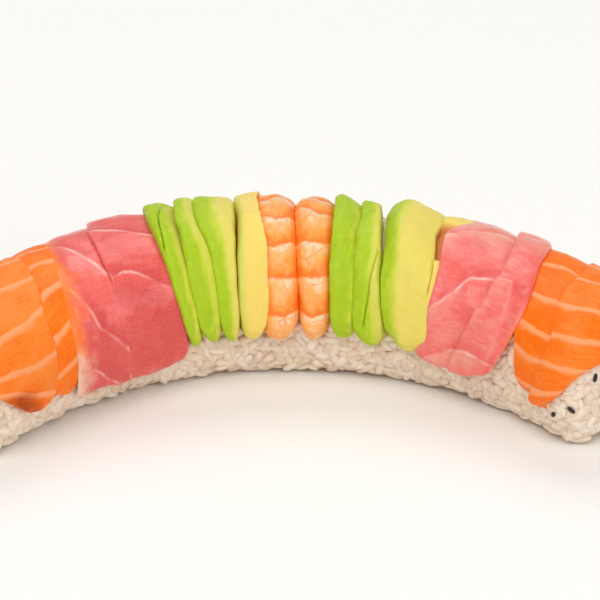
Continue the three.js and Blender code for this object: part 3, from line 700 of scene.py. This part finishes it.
# raw salmon, cut with a knife: moist, lets light in, pale lines of fat between the muscles
def makeSalmon():
    look = salmonLook
    material, add, shader = startMaterial("rawSalmonKnifeCut", {
        "Roughness": 0.42, "IOR": 1.38, "Specular IOR Level": 0.2,
        "Subsurface Scale": 0.0018, "Subsurface Radius": (1.0, 0.42, 0.16),
        "Coat Weight": 0.05, "Coat Roughness": 0.22, "Coat IOR": 1.34})
    letLightIn(add, shader, look["lightIn"])
    spot = add("Attribute", out="Vector", attribute_name="spot")
    wander = add("TexNoise", {"Vector": spot, "Scale": 1.0 / look["wanderMm"], "Detail": 4.0})
    below, count = markingDistance(add, wander, look["wander"])
    # fat is sharp on its upper side and fades away below, and varies in width
    uneven = add("TexNoise", {"Vector": spot, "Scale": 1.0 / look["unevenMm"], "Detail": 3.0})
    width = add("MapRange", {"Value": uneven, "From Min": 0.3, "From Max": 0.7,
                             "To Min": 1.7, "To Max": 0.75})
    scaled = add("Math", {0: below, 1: width}, **times)
    half = look["lineMm"] / 2
    upper = add("MapRange", {0: scaled, 1: -half * 0.9, 2: -half * 0.35}, **eased)
    fade = add("MapRange", {0: scaled, 1: half * 1.9, 2: half * 0.3}, **eased)
    line = add("Math", {0: upper, 1: fade}, **times)
    # fibres run alongside the fat
    along = add("SeparateXYZ", {"Vector": spot}, out="X")
    reach = add("Math", {0: along, 1: look["fibreSlow"]}, **times)
    across = add("Math", {0: count, 1: look["fibreRows"]}, **times)
    grain = add("CombineXYZ", {"X": reach, "Y": across})
    fibre = add("TexNoise", {"Vector": grain, "Scale": 1.0 / look["fibreMm"],
                             "Detail": 4.0, "Roughness": 0.65})
    cloud = add("TexNoise", {"Vector": spot, "Scale": 1.0 / look["cloudMm"], "Detail": 4.0})
    both = add("Math", {0: fibre, 1: look["fibreWeight"], 2: cloud}, **timesPlus)
    speck = add("TexNoise", {"Vector": spot, "Scale": 1.0 / look["speckMm"],
                             "Detail": 3.0, "Roughness": 0.6})
    speckled = add("Math", {0: speck, 1: look["speckWeight"], 2: both}, **timesPlus)
    tint = add("Attribute", out="Fac", attribute_name="tint")
    paler = add("Math", {0: tint, 1: look["tintWeight"], 2: speckled}, **timesPlus)
    pale = add("MapRange", {0: paler, 1: look["pale"][0], 2: look["pale"][1]}, **eased)
    flesh = add("Mix", {"Factor": pale, "A": look["flesh"], "B": look["fleshPale"]}, **colours)
    lined = add("Mix", {"Factor": line, "A": flesh, "B": look["fat"]}, **colours)
    # a brown stain with darker veins, with painted shade over the foot in the same browns, where a slice has
    # one
    stainAndShade = add("MapRange", {0: tint, 1: look["stainedAndShaded"][0], 2: look["stainedAndShaded"][1],
                             4: look["stainAndShadeMost"]}, **eased)
    stainedAndShaded = add("Mix", {"Factor": stainAndShade, "A": lined, "B": look["stainAndShade"]}, **colours)
    patchy = add("Math", {0: speckled, 1: look["veinWeight"], 2: tint}, **timesPlus)
    vein = add("MapRange", {0: patchy, 1: look["veined"][0], 2: look["veined"][1]}, **eased)
    colour = add("Mix", {"Factor": vein, "A": stainedAndShaded, "B": look["brownAndShade"]}, **colours)
    relief = add("Math", {0: line, 1: -0.3, 2: fibre}, **timesPlus)
    bump = add("Bump", {"Height": relief, "Strength": 0.5, "Distance": 0.0003})
    linkTo(shader, {"Base Color": colour, "Normal": bump})
    return material


tunaLook = {
    "deep": "#D9504C", "flesh": "#F06C64", "fleshPale": "#F5B09C", "sinew": "#FBD3C8",
    "throughSalmon": "#FC7D20", "throughRice": "#EEC2A6", "riceBelow": (-28.0, -38.0),
    "lineMm": 0.6,                      # width of a sinew
    "wanderMm": 5.0, "wander": 0.09,    # length of its ups and downs, and their size in spacings
    "breakMm": 6.67,                    # from where a sinew shows to where it doesn't
    "foldAboveMm": 5.0, "foldBelowMm": 6.0, "foldEdgeMm": 0.3,      # reach of the shading beside a sinew
    "fibreMm": (4.0, 0.769, 1.0),       # faint fibres: along, round and into the slice
    "cloudMm": 10.0,                    # paler and deeper patches
    "speckMm": 0.55,                    # specks of tone and painted glints, drawn a little coarse so that they show
    "fibreWeight": 0.35, "speckWeight": 0.2, "tintWeight": 0.55, "deeper": -0.14, "paler": 0.12,
    "tone": (0.4, 1.4), "shown": (0.65, 1.45), "paintedGlint": (0.5, 0.8), "paintedGlintMost": 0.13,
    "lightIn": 0.35,
}


# raw tuna, cut with a knife: translucent pink-red with thin white sinews and a wet, finely speckled
# face with painted glints, what lies below shining through where it thins out
def makeTuna():
    look = tunaLook
    material, add, shader = startMaterial("rawTunaKnifeCut", {
        "Roughness": 0.33, "IOR": 1.38, "Specular IOR Level": 0.42,
        "Subsurface Scale": 0.002, "Subsurface Radius": (1.0, 0.35, 0.3),
        "Coat Weight": 0.32, "Coat Roughness": 0.12, "Coat IOR": 1.36})
    letLightIn(add, shader, look["lightIn"])
    spot = add("Attribute", out="Vector", attribute_name="spot")
    wander = add("TexNoise", {"Vector": spot, "Scale": 1.0 / look["wanderMm"], "Detail": 4.0})
    below, _ = markingDistance(add, wander, look["wander"])
    away = add("Math", {0: below}, **positive)
    half = look["lineMm"] / 2
    sinew = add("MapRange", {0: away, 1: half * 2.6, 2: half * 0.4}, **eased)
    breakUp = add("TexNoise", {"Vector": spot, "Scale": 1.0 / look["breakMm"], "Detail": 2.0})
    broken = add("MapRange", {0: breakUp, 1: 0.3, 2: 0.75, 4: 0.8}, **eased)
    line = add("Math", {0: sinew, 1: broken}, **times)
    # painted shade just above a sinew, deeper red, and painted light just below it, paler
    edge = look["foldEdgeMm"]
    nearAbove = add("MapRange", {0: below, 1: -look["foldAboveMm"], 2: -edge}, **eased)
    deeper = add("MapRange", {0: below, 1: edge, 2: -edge, 4: look["deeper"]}, **eased)
    shadeAbove = add("Math", {0: nearAbove, 1: deeper}, **times)
    nearBelow = add("MapRange", {0: below, 1: look["foldBelowMm"], 2: edge}, **eased)
    paler = add("MapRange", {0: below, 1: -edge, 2: edge, 4: look["paler"]}, **eased)
    shadeBelow = add("Math", {0: nearBelow, 1: paler}, **times)
    paintedFoldShade = add("Math", {0: shadeAbove, 1: shadeBelow}, **plus)
    speck = add("TexNoise", {"Vector": spot, "Scale": 1.0 / look["speckMm"],
                             "Detail": 2.0, "Roughness": 0.6})
    stretch = add("Mapping", {"Vector": spot, "Scale": [1.0 / mm for mm in look["fibreMm"]]})
    fibre = add("TexNoise", {"Vector": stretch, "Scale": 1.0, "Detail": 4.0})
    cloud = add("TexNoise", {"Vector": spot, "Scale": 1.0 / look["cloudMm"], "Detail": 4.0})
    grain = add("Math", {0: fibre, 1: look["fibreWeight"], 2: cloud}, **timesPlus)
    both = add("Math", {0: speck, 1: look["speckWeight"], 2: grain}, **timesPlus)
    tint = add("Attribute", out="Fac", attribute_name="tint")
    tinted = add("Math", {0: tint, 1: look["tintWeight"], 2: both}, **timesPlus)
    light = add("Math", {0: tinted, 1: paintedFoldShade}, **plus)
    tone = add("MapRange", {0: light, 1: look["tone"][0], 2: look["tone"][1]})
    ramp = add("ValToRGB", {"Fac": tone})
    setStops(ramp, [(0.0, look["deep"]), (0.42, look["flesh"]), (1.0, look["fleshPale"])])
    # salmon or rice shines through, in patches
    around = add("SeparateXYZ", {"Vector": spot}, out="Y")
    low = add("MapRange", {0: around, 1: look["riceBelow"][0], 2: look["riceBelow"][1]}, **eased)
    under = add("Mix", {"Factor": low, "A": look["throughSalmon"], "B": look["throughRice"]}, **colours)
    through = add("Attribute", out="Fac", attribute_name="through")
    patchy = add("Math", {0: wander, 1: through}, **plus)
    shown = add("MapRange", {0: patchy, 1: look["shown"][0], 2: look["shown"][1]}, **eased)
    flesh = add("Mix", {"Factor": shown, "A": ramp, "B": under}, **colours)
    # painted glints: the brightest specks are painted pale, as light glinting off the wet face
    paintedGlint = add("MapRange", {0: speck, 1: look["paintedGlint"][0], 2: look["paintedGlint"][1], 4: look["paintedGlintMost"]}, **eased)
    drawn = add("Math", {0: line, 1: paintedGlint}, **larger)
    colour = add("Mix", {"Factor": drawn, "A": flesh, "B": look["sinew"]}, **colours)
    relief = add("Math", {0: line, 1: 0.5, 2: both}, **timesPlus)
    bump = add("Bump", {"Height": relief, "Strength": 0.5, "Distance": 0.0003})
    linkTo(shader, {"Base Color": colour, "Normal": bump})
    return material


avocadoLook = {
    "rim": "#AAC61E", "green": "#B3CC26", "greenPale": "#CBD240", "pale": "#D7D45C", "yellow": "#F2D56C",
    # the brown is painted shade, for crevices and the pocket beside the tuna
    "yellowPale": "#F3DE88", "brownAndShade": "#CF7E3C",
    "mottleMm": 2.2, "mottle": 0.42,    # soft blotches, and how far they shift the green
    "strandMm": (1.25, 11.1, 1.0),      # strands: along, round and into the slice
    "mottled": (0.05, 0.95), "paled": (0.0, 1.0), "paintedShadeRange": (0.0, -0.8),
    "lightIn": 0.25,
}


# ripe avocado, peeled and sliced: buttery and dull, bright green under the skin, yellow inside
def makeAvocado(name, stops):
    look = avocadoLook
    material, add, shader = startMaterial(name, {
        "Roughness": 0.5, "IOR": 1.42, "Specular IOR Level": 0.28,
        "Subsurface Scale": 0.0016, "Subsurface Radius": (0.9, 1.0, 0.25),
        "Coat Weight": 0.04, "Coat Roughness": 0.3, "Coat IOR": 1.38})
    letLightIn(add, shader, look["lightIn"])
    spot = add("Attribute", out="Vector", attribute_name="spot")
    green = add("Attribute", out="Fac", attribute_name="band")
    mottle = add("TexNoise", {"Vector": spot, "Scale": 1.0 / look["mottleMm"],
                              "Detail": 5.0, "Roughness": 0.65})
    stretch = add("Mapping", {"Vector": spot, "Scale": [1.0 / mm for mm in look["strandMm"]]})
    strand = add("TexNoise", {"Vector": stretch, "Scale": 1.0, "Detail": 3.0})
    both = add("Math", {0: mottle, 1: strand}, **plus)
    shift = add("MapRange", {"Value": both, "From Min": 0.6, "From Max": 1.4,
                             "To Min": -look["mottle"], "To Max": look["mottle"]})
    # no blotches where it is wholly yellow
    share = add("MapRange", {0: green, 1: look["mottled"][0], 2: look["mottled"][1]}, **eased)
    uneven = add("Math", {0: shift, 1: share}, **times)
    ramp = add("ValToRGB", {"Fac": add("Math", {0: green, 1: uneven}, **plus)})
    setStops(ramp, stops)
    # some of it is paler, and crevices and the pocket beside the tuna are painted brown shade
    tint = add("Attribute", out="Fac", attribute_name="tint")
    pale = add("MapRange", {0: tint, 1: look["paled"][0], 2: look["paled"][1]}, **eased)
    paler = add("Mix", {"Factor": pale, "A": ramp, "B": look["yellowPale"]}, **colours)
    brownAndShade = add("MapRange", {0: tint, 1: look["paintedShadeRange"][0], 2: look["paintedShadeRange"][1]}, **eased)
    colour = add("Mix", {"Factor": brownAndShade, "A": paler, "B": look["brownAndShade"]}, **colours)
    bump = add("Bump", {"Height": both, "Strength": 0.4, "Distance": 0.0004})
    linkTo(shader, {"Base Color": colour, "Normal": bump})
    return material


prawnLook = {
    "white": "#F4D2A8", "fleshPale": "#FCBC7C", "flesh": "#FDAE5C", "warm": "#FD9A3A", "band": "#FA8226",
    "creaseMm": 0.7, "sideMm": 2.6,     # width of a crease, and of the warm sides
    "wanderMm": 2.94, "wander": 0.2,    # length of a crease's ups and downs, and their size in segments
    "streakMm": 1.6, "cloudMm": 3.57,   # short streaks and larger blotches
    "veinMm": (7.35, 4.9, 5.88),        # meshes of the veins: along, round and into the slice
    "veinWide": 0.07, "veined": (0.42, 0.62), "veinMost": 0.7,      # share of a mesh, where, and how strong
    "streakWeight": 0.5, "mean": -0.75, "blotch": -1.3, "sideWarm": 0.4, "warmth": 0.84,
    "lightIn": 0.25,
}


# prawn, boiled and split: glossy, each segment white under its crease and orange at its end, with
# fine orange veins
def makePrawn():
    look = prawnLook
    material, add, shader = startMaterial("boiledPrawnSplit", {
        "Roughness": 0.36, "IOR": 1.4, "Specular IOR Level": 0.4,
        "Subsurface Scale": 0.0016, "Subsurface Radius": (1.0, 0.5, 0.25),
        "Coat Weight": 0.3, "Coat Roughness": 0.12, "Coat IOR": 1.36})
    letLightIn(add, shader, look["lightIn"])
    spot = add("Attribute", out="Vector", attribute_name="spot")
    wander = add("TexNoise", {"Vector": spot, "Scale": 1.0 / look["wanderMm"], "Detail": 4.0})
    below, count = markingDistance(add, wander, look["wander"])
    away = add("Math", {0: below}, **positive)
    streak = add("TexNoise", {"Vector": spot, "Scale": 1.0 / look["streakMm"],
                              "Detail": 4.0, "Roughness": 0.6})
    cloud = add("TexNoise", {"Vector": spot, "Scale": 1.0 / look["cloudMm"], "Detail": 3.0})
    both = add("Math", {0: streak, 1: look["streakWeight"], 2: cloud}, **timesPlus)
    # warmer towards the end of each segment and down the sides, in blotches
    part = add("Math", {0: count}, **afterPoint)
    shift = add("Math", {0: both, 1: look["mean"]}, **plus)
    place = add("Math", {0: shift, 1: look["blotch"], 2: part}, **timesPlus)
    rim = add("Attribute", out="Fac", attribute_name="rim")
    side = add("MapRange", {0: rim, 1: look["sideMm"], 2: 0.2, 4: look["sideWarm"]}, **eased)
    warmth = add("Math", {0: place, 1: side}, **plus)
    ramp = add("ValToRGB", {"Fac": add("Math", {0: warmth, 1: look["warmth"]}, **times)})
    setStops(ramp, [(0.0, look["white"]), (0.1, look["white"]), (0.24, look["fleshPale"]),
                    (0.5, look["flesh"]), (0.76, look["warm"]), (0.97, look["band"])])
    half = look["creaseMm"] / 2
    crease = add("MapRange", {0: away, 1: half * 3.0, 2: half * 0.5}, **eased)
    stretch = add("Mapping", {"Vector": spot, "Scale": [1.0 / mm for mm in look["veinMm"]]})
    fromVein = add("TexVoronoi", {"Vector": stretch, "Scale": 1.0}, out="Distance",
                   feature="DISTANCE_TO_EDGE")
    vein = add("MapRange", {0: fromVein, 1: look["veinWide"], 2: 0.0}, **eased)
    shown = add("MapRange", {0: cloud, 1: look["veined"][0], 2: look["veined"][1],
                             4: look["veinMost"]}, **eased)
    veins = add("Math", {0: vein, 1: shown}, **times)
    drawn = add("Math", {0: crease, 1: veins}, **larger)
    colour = add("Mix", {"Factor": drawn, "A": ramp, "B": look["band"]}, **colours)
    bump = add("Bump", {"Height": both, "Strength": 0.45, "Distance": 0.0004})
    linkTo(shader, {"Base Color": colour, "Normal": bump})
    return material


riceLook = {
    # deep is painted shade: the body between the grains is darker, as in the crevices
    "grain": "#F4E3D0", "grainClear": "#E6CCB0", "deep": "#D8B490",
    "chalkMm": 2.0, "chalkWeight": 0.7, "tone": (0.2, 1.2),     # chalky core of a grain, and its tones
}


# short-grain rice, steamed and dressed with vinegar: pearly, sticky and slightly glossy
def makeRice(name, light, dark):
    material, add, shader = startMaterial(name, {
        "Roughness": 0.4, "IOR": 1.42,
        "Subsurface Weight": 0.12, "Subsurface Scale": 0.0008, "Subsurface Radius": (1.0, 0.92, 0.84),
        "Coat Weight": 0.25, "Coat Roughness": 0.15, "Coat IOR": 1.36})
    spot = add("Attribute", out="Vector", attribute_name="spot")
    tone = add("Attribute", out="Fac", attribute_name="band")
    chalk = add("TexNoise", {"Vector": spot, "Scale": 1.0 / riceLook["chalkMm"], "Detail": 3.0})
    both = add("Math", {0: chalk, 1: riceLook["chalkWeight"], 2: tone}, **timesPlus)
    share = add("MapRange", {0: both, 1: riceLook["tone"][0], 2: riceLook["tone"][1]})
    colour = add("Mix", {"Factor": share, "A": dark, "B": light}, **colours)
    bump = add("Bump", {"Height": chalk, "Strength": 0.15, "Distance": 0.0003})
    linkTo(shader, {"Base Color": colour, "Normal": bump})
    return material


seedLook = {"skin": "#17120F", "worn": "#332A22", "wrinkleMm": 0.4}


# black sesame, roasted: dull dark skin with fine wrinkles
def makeSeed():
    material, add, shader = startMaterial("blackSesameRoasted", {"Roughness": 0.55, "IOR": 1.46})
    spot = add("Attribute", out="Vector", attribute_name="spot")
    wrinkle = add("TexNoise", {"Vector": spot, "Scale": 1.0 / seedLook["wrinkleMm"], "Detail": 3.0})
    colour = add("Mix", {"Factor": wrinkle, "A": seedLook["skin"], "B": seedLook["worn"]}, **colours)
    bump = add("Bump", {"Height": wrinkle, "Strength": 0.4, "Distance": 0.0002})
    linkTo(shader, {"Base Color": colour, "Normal": bump})
    return material


greenStops = [(0.05, avocadoLook["yellow"]), (0.3, avocadoLook["pale"]), (0.5, avocadoLook["greenPale"]),
              (0.75, avocadoLook["green"]), (1.0, avocadoLook["rim"])]
yellowStops = [(0.0, avocadoLook["yellow"]), (0.3, avocadoLook["pale"])]
looks = {
    "salmon": makeSalmon(),
    "tuna": makeTuna(),
    "avocado": makeAvocado("ripeAvocadoSliced", greenStops),
    "avocadoYellow": makeAvocado("ripeAvocadoHeartSliced", yellowStops),
    "prawn": makePrawn(),
}

print("stage: slices")
for piece in slices:
    sliceMesh(piece, looks[piece["kind"]])


# Rice: a body of its own with real grains pressed onto it wherever no slice lies
riceMake = {
    "footSearch": (30.0, 75.0, 4000),               # from, to and steps, round the roll
    "rings": 260, "sides": 110,                     # mesh of the body
    "bodyReach": 11.6,                              # how far it goes down the end faces
    "bodySeed": 3, "bodyUneven": 0.22, "bodyMm": (3.5, 9.0), "bodySink": 0.15, "bodyTone": 0.35,
    "grainMm": (6.2, 3.1, 2.5), "grainBend": 0.05,  # length, width and thickness of a cooked grain
    "rounding": 2.3, "grainRings": 6, "grainSides": 8,
    "seed": 21, "tries": 60000, "reach": 11.5,      # places drawn, and how far down the end faces
    "endTries": 4000, "endReach": 12.0,             # and on the middle of the end faces
    "widest": 1.35,                                 # most surface that a square millimetre is bent out to
    "clear": 0.3,                                   # from a slice's outline
    "spacing": 1.6, "grains": 2000,
    "lift": (-1.05, 0.05), "tilt": 0.2, "scale": (0.86, 1.1),   # as they lie, and how they vary
    "offFloor": 0.12, "apart": 7.3,                 # clear of the floor, and moved on in the pattern
    "seeds": ((108.2, -29), (103, -43.5), (98.5, -46)),         # along and round the roll
    "seedMm": (2.6, 1.3, 0.9), "seedLift": 1.1,
}


# how far inside a slice's outline a place lies, in millimetres, negative outside
def coveredBy(piece, along, around):
    front, back = piece["ends"]
    left, right = wallsOf(piece, around, np.full_like(along, rollShape["seat"]))
    inside = np.minimum(around - front, back - around)
    width, _ = widthNear(piece, inside)
    anchor = piece["anchor"]
    fixed, wide = mix(left, right, anchor), (right - left) * width
    fromLeft, fromRight = along - fixed + wide * anchor, fixed + wide * (1.0 - anchor) - along
    return np.minimum(inside, np.minimum(fromLeft, fromRight))


def covered(along, around):
    return np.max([coveredBy(piece, along, around) for piece in slices], axis=0)


# how far round the roll the rice comes down to the floor
def footAround():
    around = np.linspace(*riceMake["footSearch"])
    around = around[around + sectionStep < sectionWalk[0][-1]]
    _, rise = riceSection(around)
    return float(around[np.argmax(rise <= -rollShape["centreHeight"])])


# the way along from one end face to the other, so far down each
def alongSpan(down):
    past = rollShape["endRound"] * (math.pi / 2 - 1.0) + down
    return -(rollShape["leftReach"] + past), rollShape["rightReach"] + past


def grainShape(size, bend):
    lengthMm, wideMm, thickMm = size
    rings, sides = riceMake["grainRings"], riceMake["grainSides"]
    at = np.cos(np.linspace(0, math.pi, rings + 2))[1:-1]
    girth = (1.0 - np.abs(at) ** riceMake["rounding"]) ** 0.5
    angle = np.arange(sides) / sides * 2 * math.pi
    ring = [np.stack([np.full(sides, a * lengthMm / 2),
                      g * wideMm / 2 * np.cos(angle) + bend * lengthMm * a * a,
                      g * thickMm / 2 * np.sin(angle)], 1) for a, g in zip(at, girth)]
    tips = [[[way * lengthMm / 2, bend * lengthMm, 0]] for way in (1, -1)]
    points = np.concatenate(ring + tips)
    faces = []
    for i in range(rings - 1):
        for k in range(sides):
            a, b = i * sides + k, i * sides + (k + 1) % sides
            faces += [(a, a + sides, b), (b, a + sides, b + sides)]
    for k in range(sides):
        n, last = (k + 1) % sides, (rings - 1) * sides
        faces += [(rings * sides, k, n), (rings * sides + 1, last + n, last + k)]
    return points, np.array(faces)


# many copies of a shape laid on the rice, as one mesh
def scatter(name, shape, centres, outward, turn, tilt, scale, tones, material):
    points, faces = shape
    # any way that isn't nearly outward serves to begin with
    helper = np.where(np.abs(outward[:, 2:3]) < 0.9, [[0.0, 0.0, 1.0]], [[1.0, 0.0, 0.0]])
    first = np.cross(outward, helper)
    first /= np.linalg.norm(first, axis=1, keepdims=True)
    second = np.cross(outward, first)
    way = first * np.cos(turn)[:, None] + second * np.sin(turn)[:, None]
    way = way * np.cos(tilt)[:, None] + outward * np.sin(tilt)[:, None]
    side = np.cross(outward, way)
    side /= np.linalg.norm(side, axis=1, keepdims=True)
    up = np.cross(way, side)
    local = points[None] * scale[:, None, :]
    world = (centres[:, None] + local[..., 0:1] * way[:, None] + local[..., 1:2] * side[:, None]
             + local[..., 2:3] * up[:, None])
    keep = world[..., 2].min(1) > riceMake["offFloor"]
    world, local, tones = world[keep], local[keep], tones[keep]
    count = len(world)
    allFaces = (faces[None] + (np.arange(count) * len(points))[:, None, None]).reshape(-1, 3)
    fields = {"spot": (local + np.arange(count)[:, None, None] * riceMake["apart"]).reshape(-1, 3),
              "band": np.repeat(tones, len(points))}
    return meshObject(name, world.reshape(-1, 3), allFaces, fields, material), count


# places drawn evenly over the rice, ends too
def drawPlaces(count, draw, foot):
    low, high = alongSpan(riceMake["reach"])
    along, around = draw.uniform(low, high, count), draw.uniform(-foot, foot, count)
    area = np.linalg.norm(patchAt(along, around), axis=1) / (2 * surfaceStep) ** 2
    keep = draw.uniform(0, riceMake["widest"], count) < area
    return along[keep], around[keep]


# places on the lower middle of the end faces, between the two feet of the section, facing out
def drawEndPlaces(count, draw, foot):
    endRound = rollShape["endRound"]
    way = np.where(draw.uniform(0, 1, count) < 0.5, -1.0, 1.0)
    reach = reachAt(way)
    along = way * (reach + draw.uniform(endRound, endRound * math.pi / 2 + riceMake["endReach"], count))
    share = draw.uniform(0, 1, count)[:, None]
    places = mix(ricePoint(along, -foot), ricePoint(along, foot), share)
    _, _, turn = planPoint(way * reach)
    return places, way[:, None] * np.stack([np.cos(turn), -np.sin(turn), 0.0 * turn], 1)


def makeRiceBody(foot):
    along = np.linspace(*alongSpan(riceMake["bodyReach"]), riceMake["rings"] + 1)
    around = np.linspace(-foot, foot, riceMake["sides"] + 1)
    along, around = np.broadcast_arrays(along[:, None], around[None, :])
    uneven = ripple(along, around, riceMake["bodySeed"], riceMake["bodyUneven"], *riceMake["bodyMm"])
    points = abovePoint(along, around, uneven - riceMake["bodySink"])
    points[..., 2] = np.maximum(points[..., 2], 0.0)
    rows, columns = along.shape
    index = np.arange(rows * columns).reshape(rows, columns)
    base = np.stack([index[:-1, -1], index[:-1, 0], index[1:, 0], index[1:, -1]], -1)
    flat = points.reshape(-1, 3)
    faces = np.concatenate([quadsOf(index), base])
    for row, way in ((0, 1), (rows - 1, -1)):           # closes the middle of each end face
        ring = index[row][::way]
        flat = np.concatenate([flat, flat[ring].mean(0, keepdims=True)])
        after = np.roll(ring, -1)
        middle = np.full(columns, len(flat) - 1)
        faces = np.concatenate([faces, np.stack([middle, after, ring, ring], 1)])
    spot = np.stack([along.ravel(), around.ravel(), 0 * along.ravel()], 1)
    fields = {"spot": np.concatenate([spot, np.zeros((2, 3))]),
              "band": np.full(len(flat), riceMake["bodyTone"])}
    # the body is painted in darker tones than the grains, as shade between them
    return meshObject("rice_roll.body", flat, faces, fields,
                      makeRice("pressedRicePaintedShade", riceLook["grainClear"], riceLook["deep"]))


# leaves out places that are too close together, and those beyond the limit
def thinOut(points):
    spacing, limit = riceMake["spacing"], riceMake["grains"]
    kept, cells = [], {}
    steps = [(x, y, z) for x in (-1, 0, 1) for y in (-1, 0, 1) for z in (-1, 0, 1)]
    for k, point in enumerate(points):
        cell = tuple((point / spacing).astype(int))
        near = [j for x, y, z in steps for j in cells.get((cell[0] + x, cell[1] + y, cell[2] + z), [])]
        if all(np.sum((points[j] - point) ** 2) > spacing ** 2 for j in near):
            cells.setdefault(cell, []).append(k)
            kept.append(k)
        if len(kept) >= limit:
            break
    return np.array(kept)


print("stage: rice")
foot = footAround()
body = makeRiceBody(foot)
draw = np.random.default_rng(riceMake["seed"])
grainAlong, grainAround = drawPlaces(riceMake["tries"], draw, foot)
bare = covered(grainAlong, grainAround) < -riceMake["clear"]
grainAlong, grainAround = grainAlong[bare], grainAround[bare]
kept = thinOut(ricePoint(grainAlong, grainAround))
grainAlong, grainAround = grainAlong[kept], grainAround[kept]
endPlaces, endOutward = drawEndPlaces(riceMake["endTries"], draw, foot)
endKept = thinOut(endPlaces)
places = np.concatenate([ricePoint(grainAlong, grainAround), endPlaces[endKept]])
outward = np.concatenate([outwardAt(grainAlong, grainAround), endOutward[endKept]])
count = len(places)
lift = draw.uniform(*riceMake["lift"], count)[:, None]
grains, laid = scatter("rice_roll.grains", grainShape(riceMake["grainMm"], riceMake["grainBend"]),
                       places + outward * lift, outward,
                       draw.uniform(0, math.pi * 2, count), draw.normal(0, riceMake["tilt"], count),
                       draw.uniform(*riceMake["scale"], (count, 3)), draw.uniform(0, 1, count),
                       makeRice("steamedRiceGrains", riceLook["grain"], riceLook["grainClear"]))
seedAlong, seedAround = np.array(riceMake["seeds"], float).T
seedCount = len(seedAlong)
seeds, _ = scatter("rice_roll.seeds", grainShape(riceMake["seedMm"], 0.0),
                   abovePoint(seedAlong, seedAround, np.full(seedCount, riceMake["seedLift"])),
                   outwardAt(seedAlong, seedAround),
                   seedAlong, 0.1 * seedAlong % 0.3,    # each lies another way
                   np.ones((seedCount, 3)), np.ones(seedCount), makeSeed())
for thing in (body, grains, seeds):
    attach(thing, "root")
    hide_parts("rice_roll")
print("grains of rice:", laid)

# Plain pale floor, soft light and the photograph's viewing angle
studio = {
    "floor": "#F5F3EF", "floorPale": "#F8F6F2", "paperMm": 1.1111,      # faint grain of the floor
    "floorHalfMm": 3000.0, "floorDropMm": 0.05,
    "world": "#FFFFFF", "worldStrength": 0.45,
    # place in metres, size in metres and watts
    "lights": (((-0.7, -1.25, 2.1), 1.8, 28.0), ((1.25, -1.25, 1.1), 1.3, 10.0),
               ((0.0, 1.2, 1.9), 1.6, 14.0)),
    "lookAtMm": (5.065, 49.64, 0.0), "distanceMm": 614.0, "elevation": 28.0,
    "lens": 121.0, "sensor": 36.0, "farthest": 20.0,
}
print("stage: studio")


# uncoated paper, rolled out: matt, with hardly any grain
def makeFloor():
    material, add, shader = startMaterial("paleStudioPaper", {"Roughness": 0.85})
    spot = add("TexCoord", out="Object")
    grain = add("TexNoise", {"Vector": spot, "Scale": 1000.0 / studio["paperMm"], "Detail": 2.0})
    colour = add("Mix", {"Factor": grain, "A": studio["floor"], "B": studio["floorPale"]}, **colours)
    linkTo(shader, {"Base Color": colour})
    half, level = studio["floorHalfMm"], -studio["floorDropMm"]
    corners = np.array([(x * half, y * half, level) for x, y in ((-1, -1), (1, -1), (1, 1), (-1, 1))])
    meshObject("floor", corners, [(0, 1, 2, 3)], {}, material)


def makeLights():
    world = bpy.data.worlds.new("softRoom")
    world.use_nodes = True
    back = world.node_tree.nodes["Background"]
    back.inputs["Color"].default_value = linearColour(studio["world"])
    back.inputs["Strength"].default_value = studio["worldStrength"]
    bpy.context.scene.world = world
    for i, (place, size, watts) in enumerate(studio["lights"]):
        light = bpy.data.lights.new("softBox%d" % i, "AREA")
        light.shape, light.size, light.energy = "DISK", size, watts
        lamp = bpy.data.objects.new("softBox%d" % i, light)
        lamp.location = place
        level = math.hypot(place[0], place[1])
        lamp.rotation_euler = (math.atan2(level, place[2]), 0.0, math.atan2(place[0], -place[1]))
        bpy.context.scene.collection.objects.link(lamp)


def makeCamera():
    data = bpy.data.cameras.new("photoCamera")
    data.lens, data.sensor_width, data.clip_end = studio["lens"], studio["sensor"], studio["farthest"]
    camera = bpy.data.objects.new("photoCamera", data)
    tilt = math.radians(studio["elevation"])
    x, y, z = (value * 0.001 for value in studio["lookAtMm"])
    away = studio["distanceMm"] * 0.001
    camera.location = (x, y - away * math.cos(tilt), z + away * math.sin(tilt))
    camera.rotation_euler = (math.pi / 2 - tilt, 0.0, 0.0)
    bpy.context.scene.collection.objects.link(camera)
    bpy.context.scene.camera = camera


makeFloor()
makeLights()
makeCamera()
bpy.context.scene.view_settings.view_transform = "Standard"
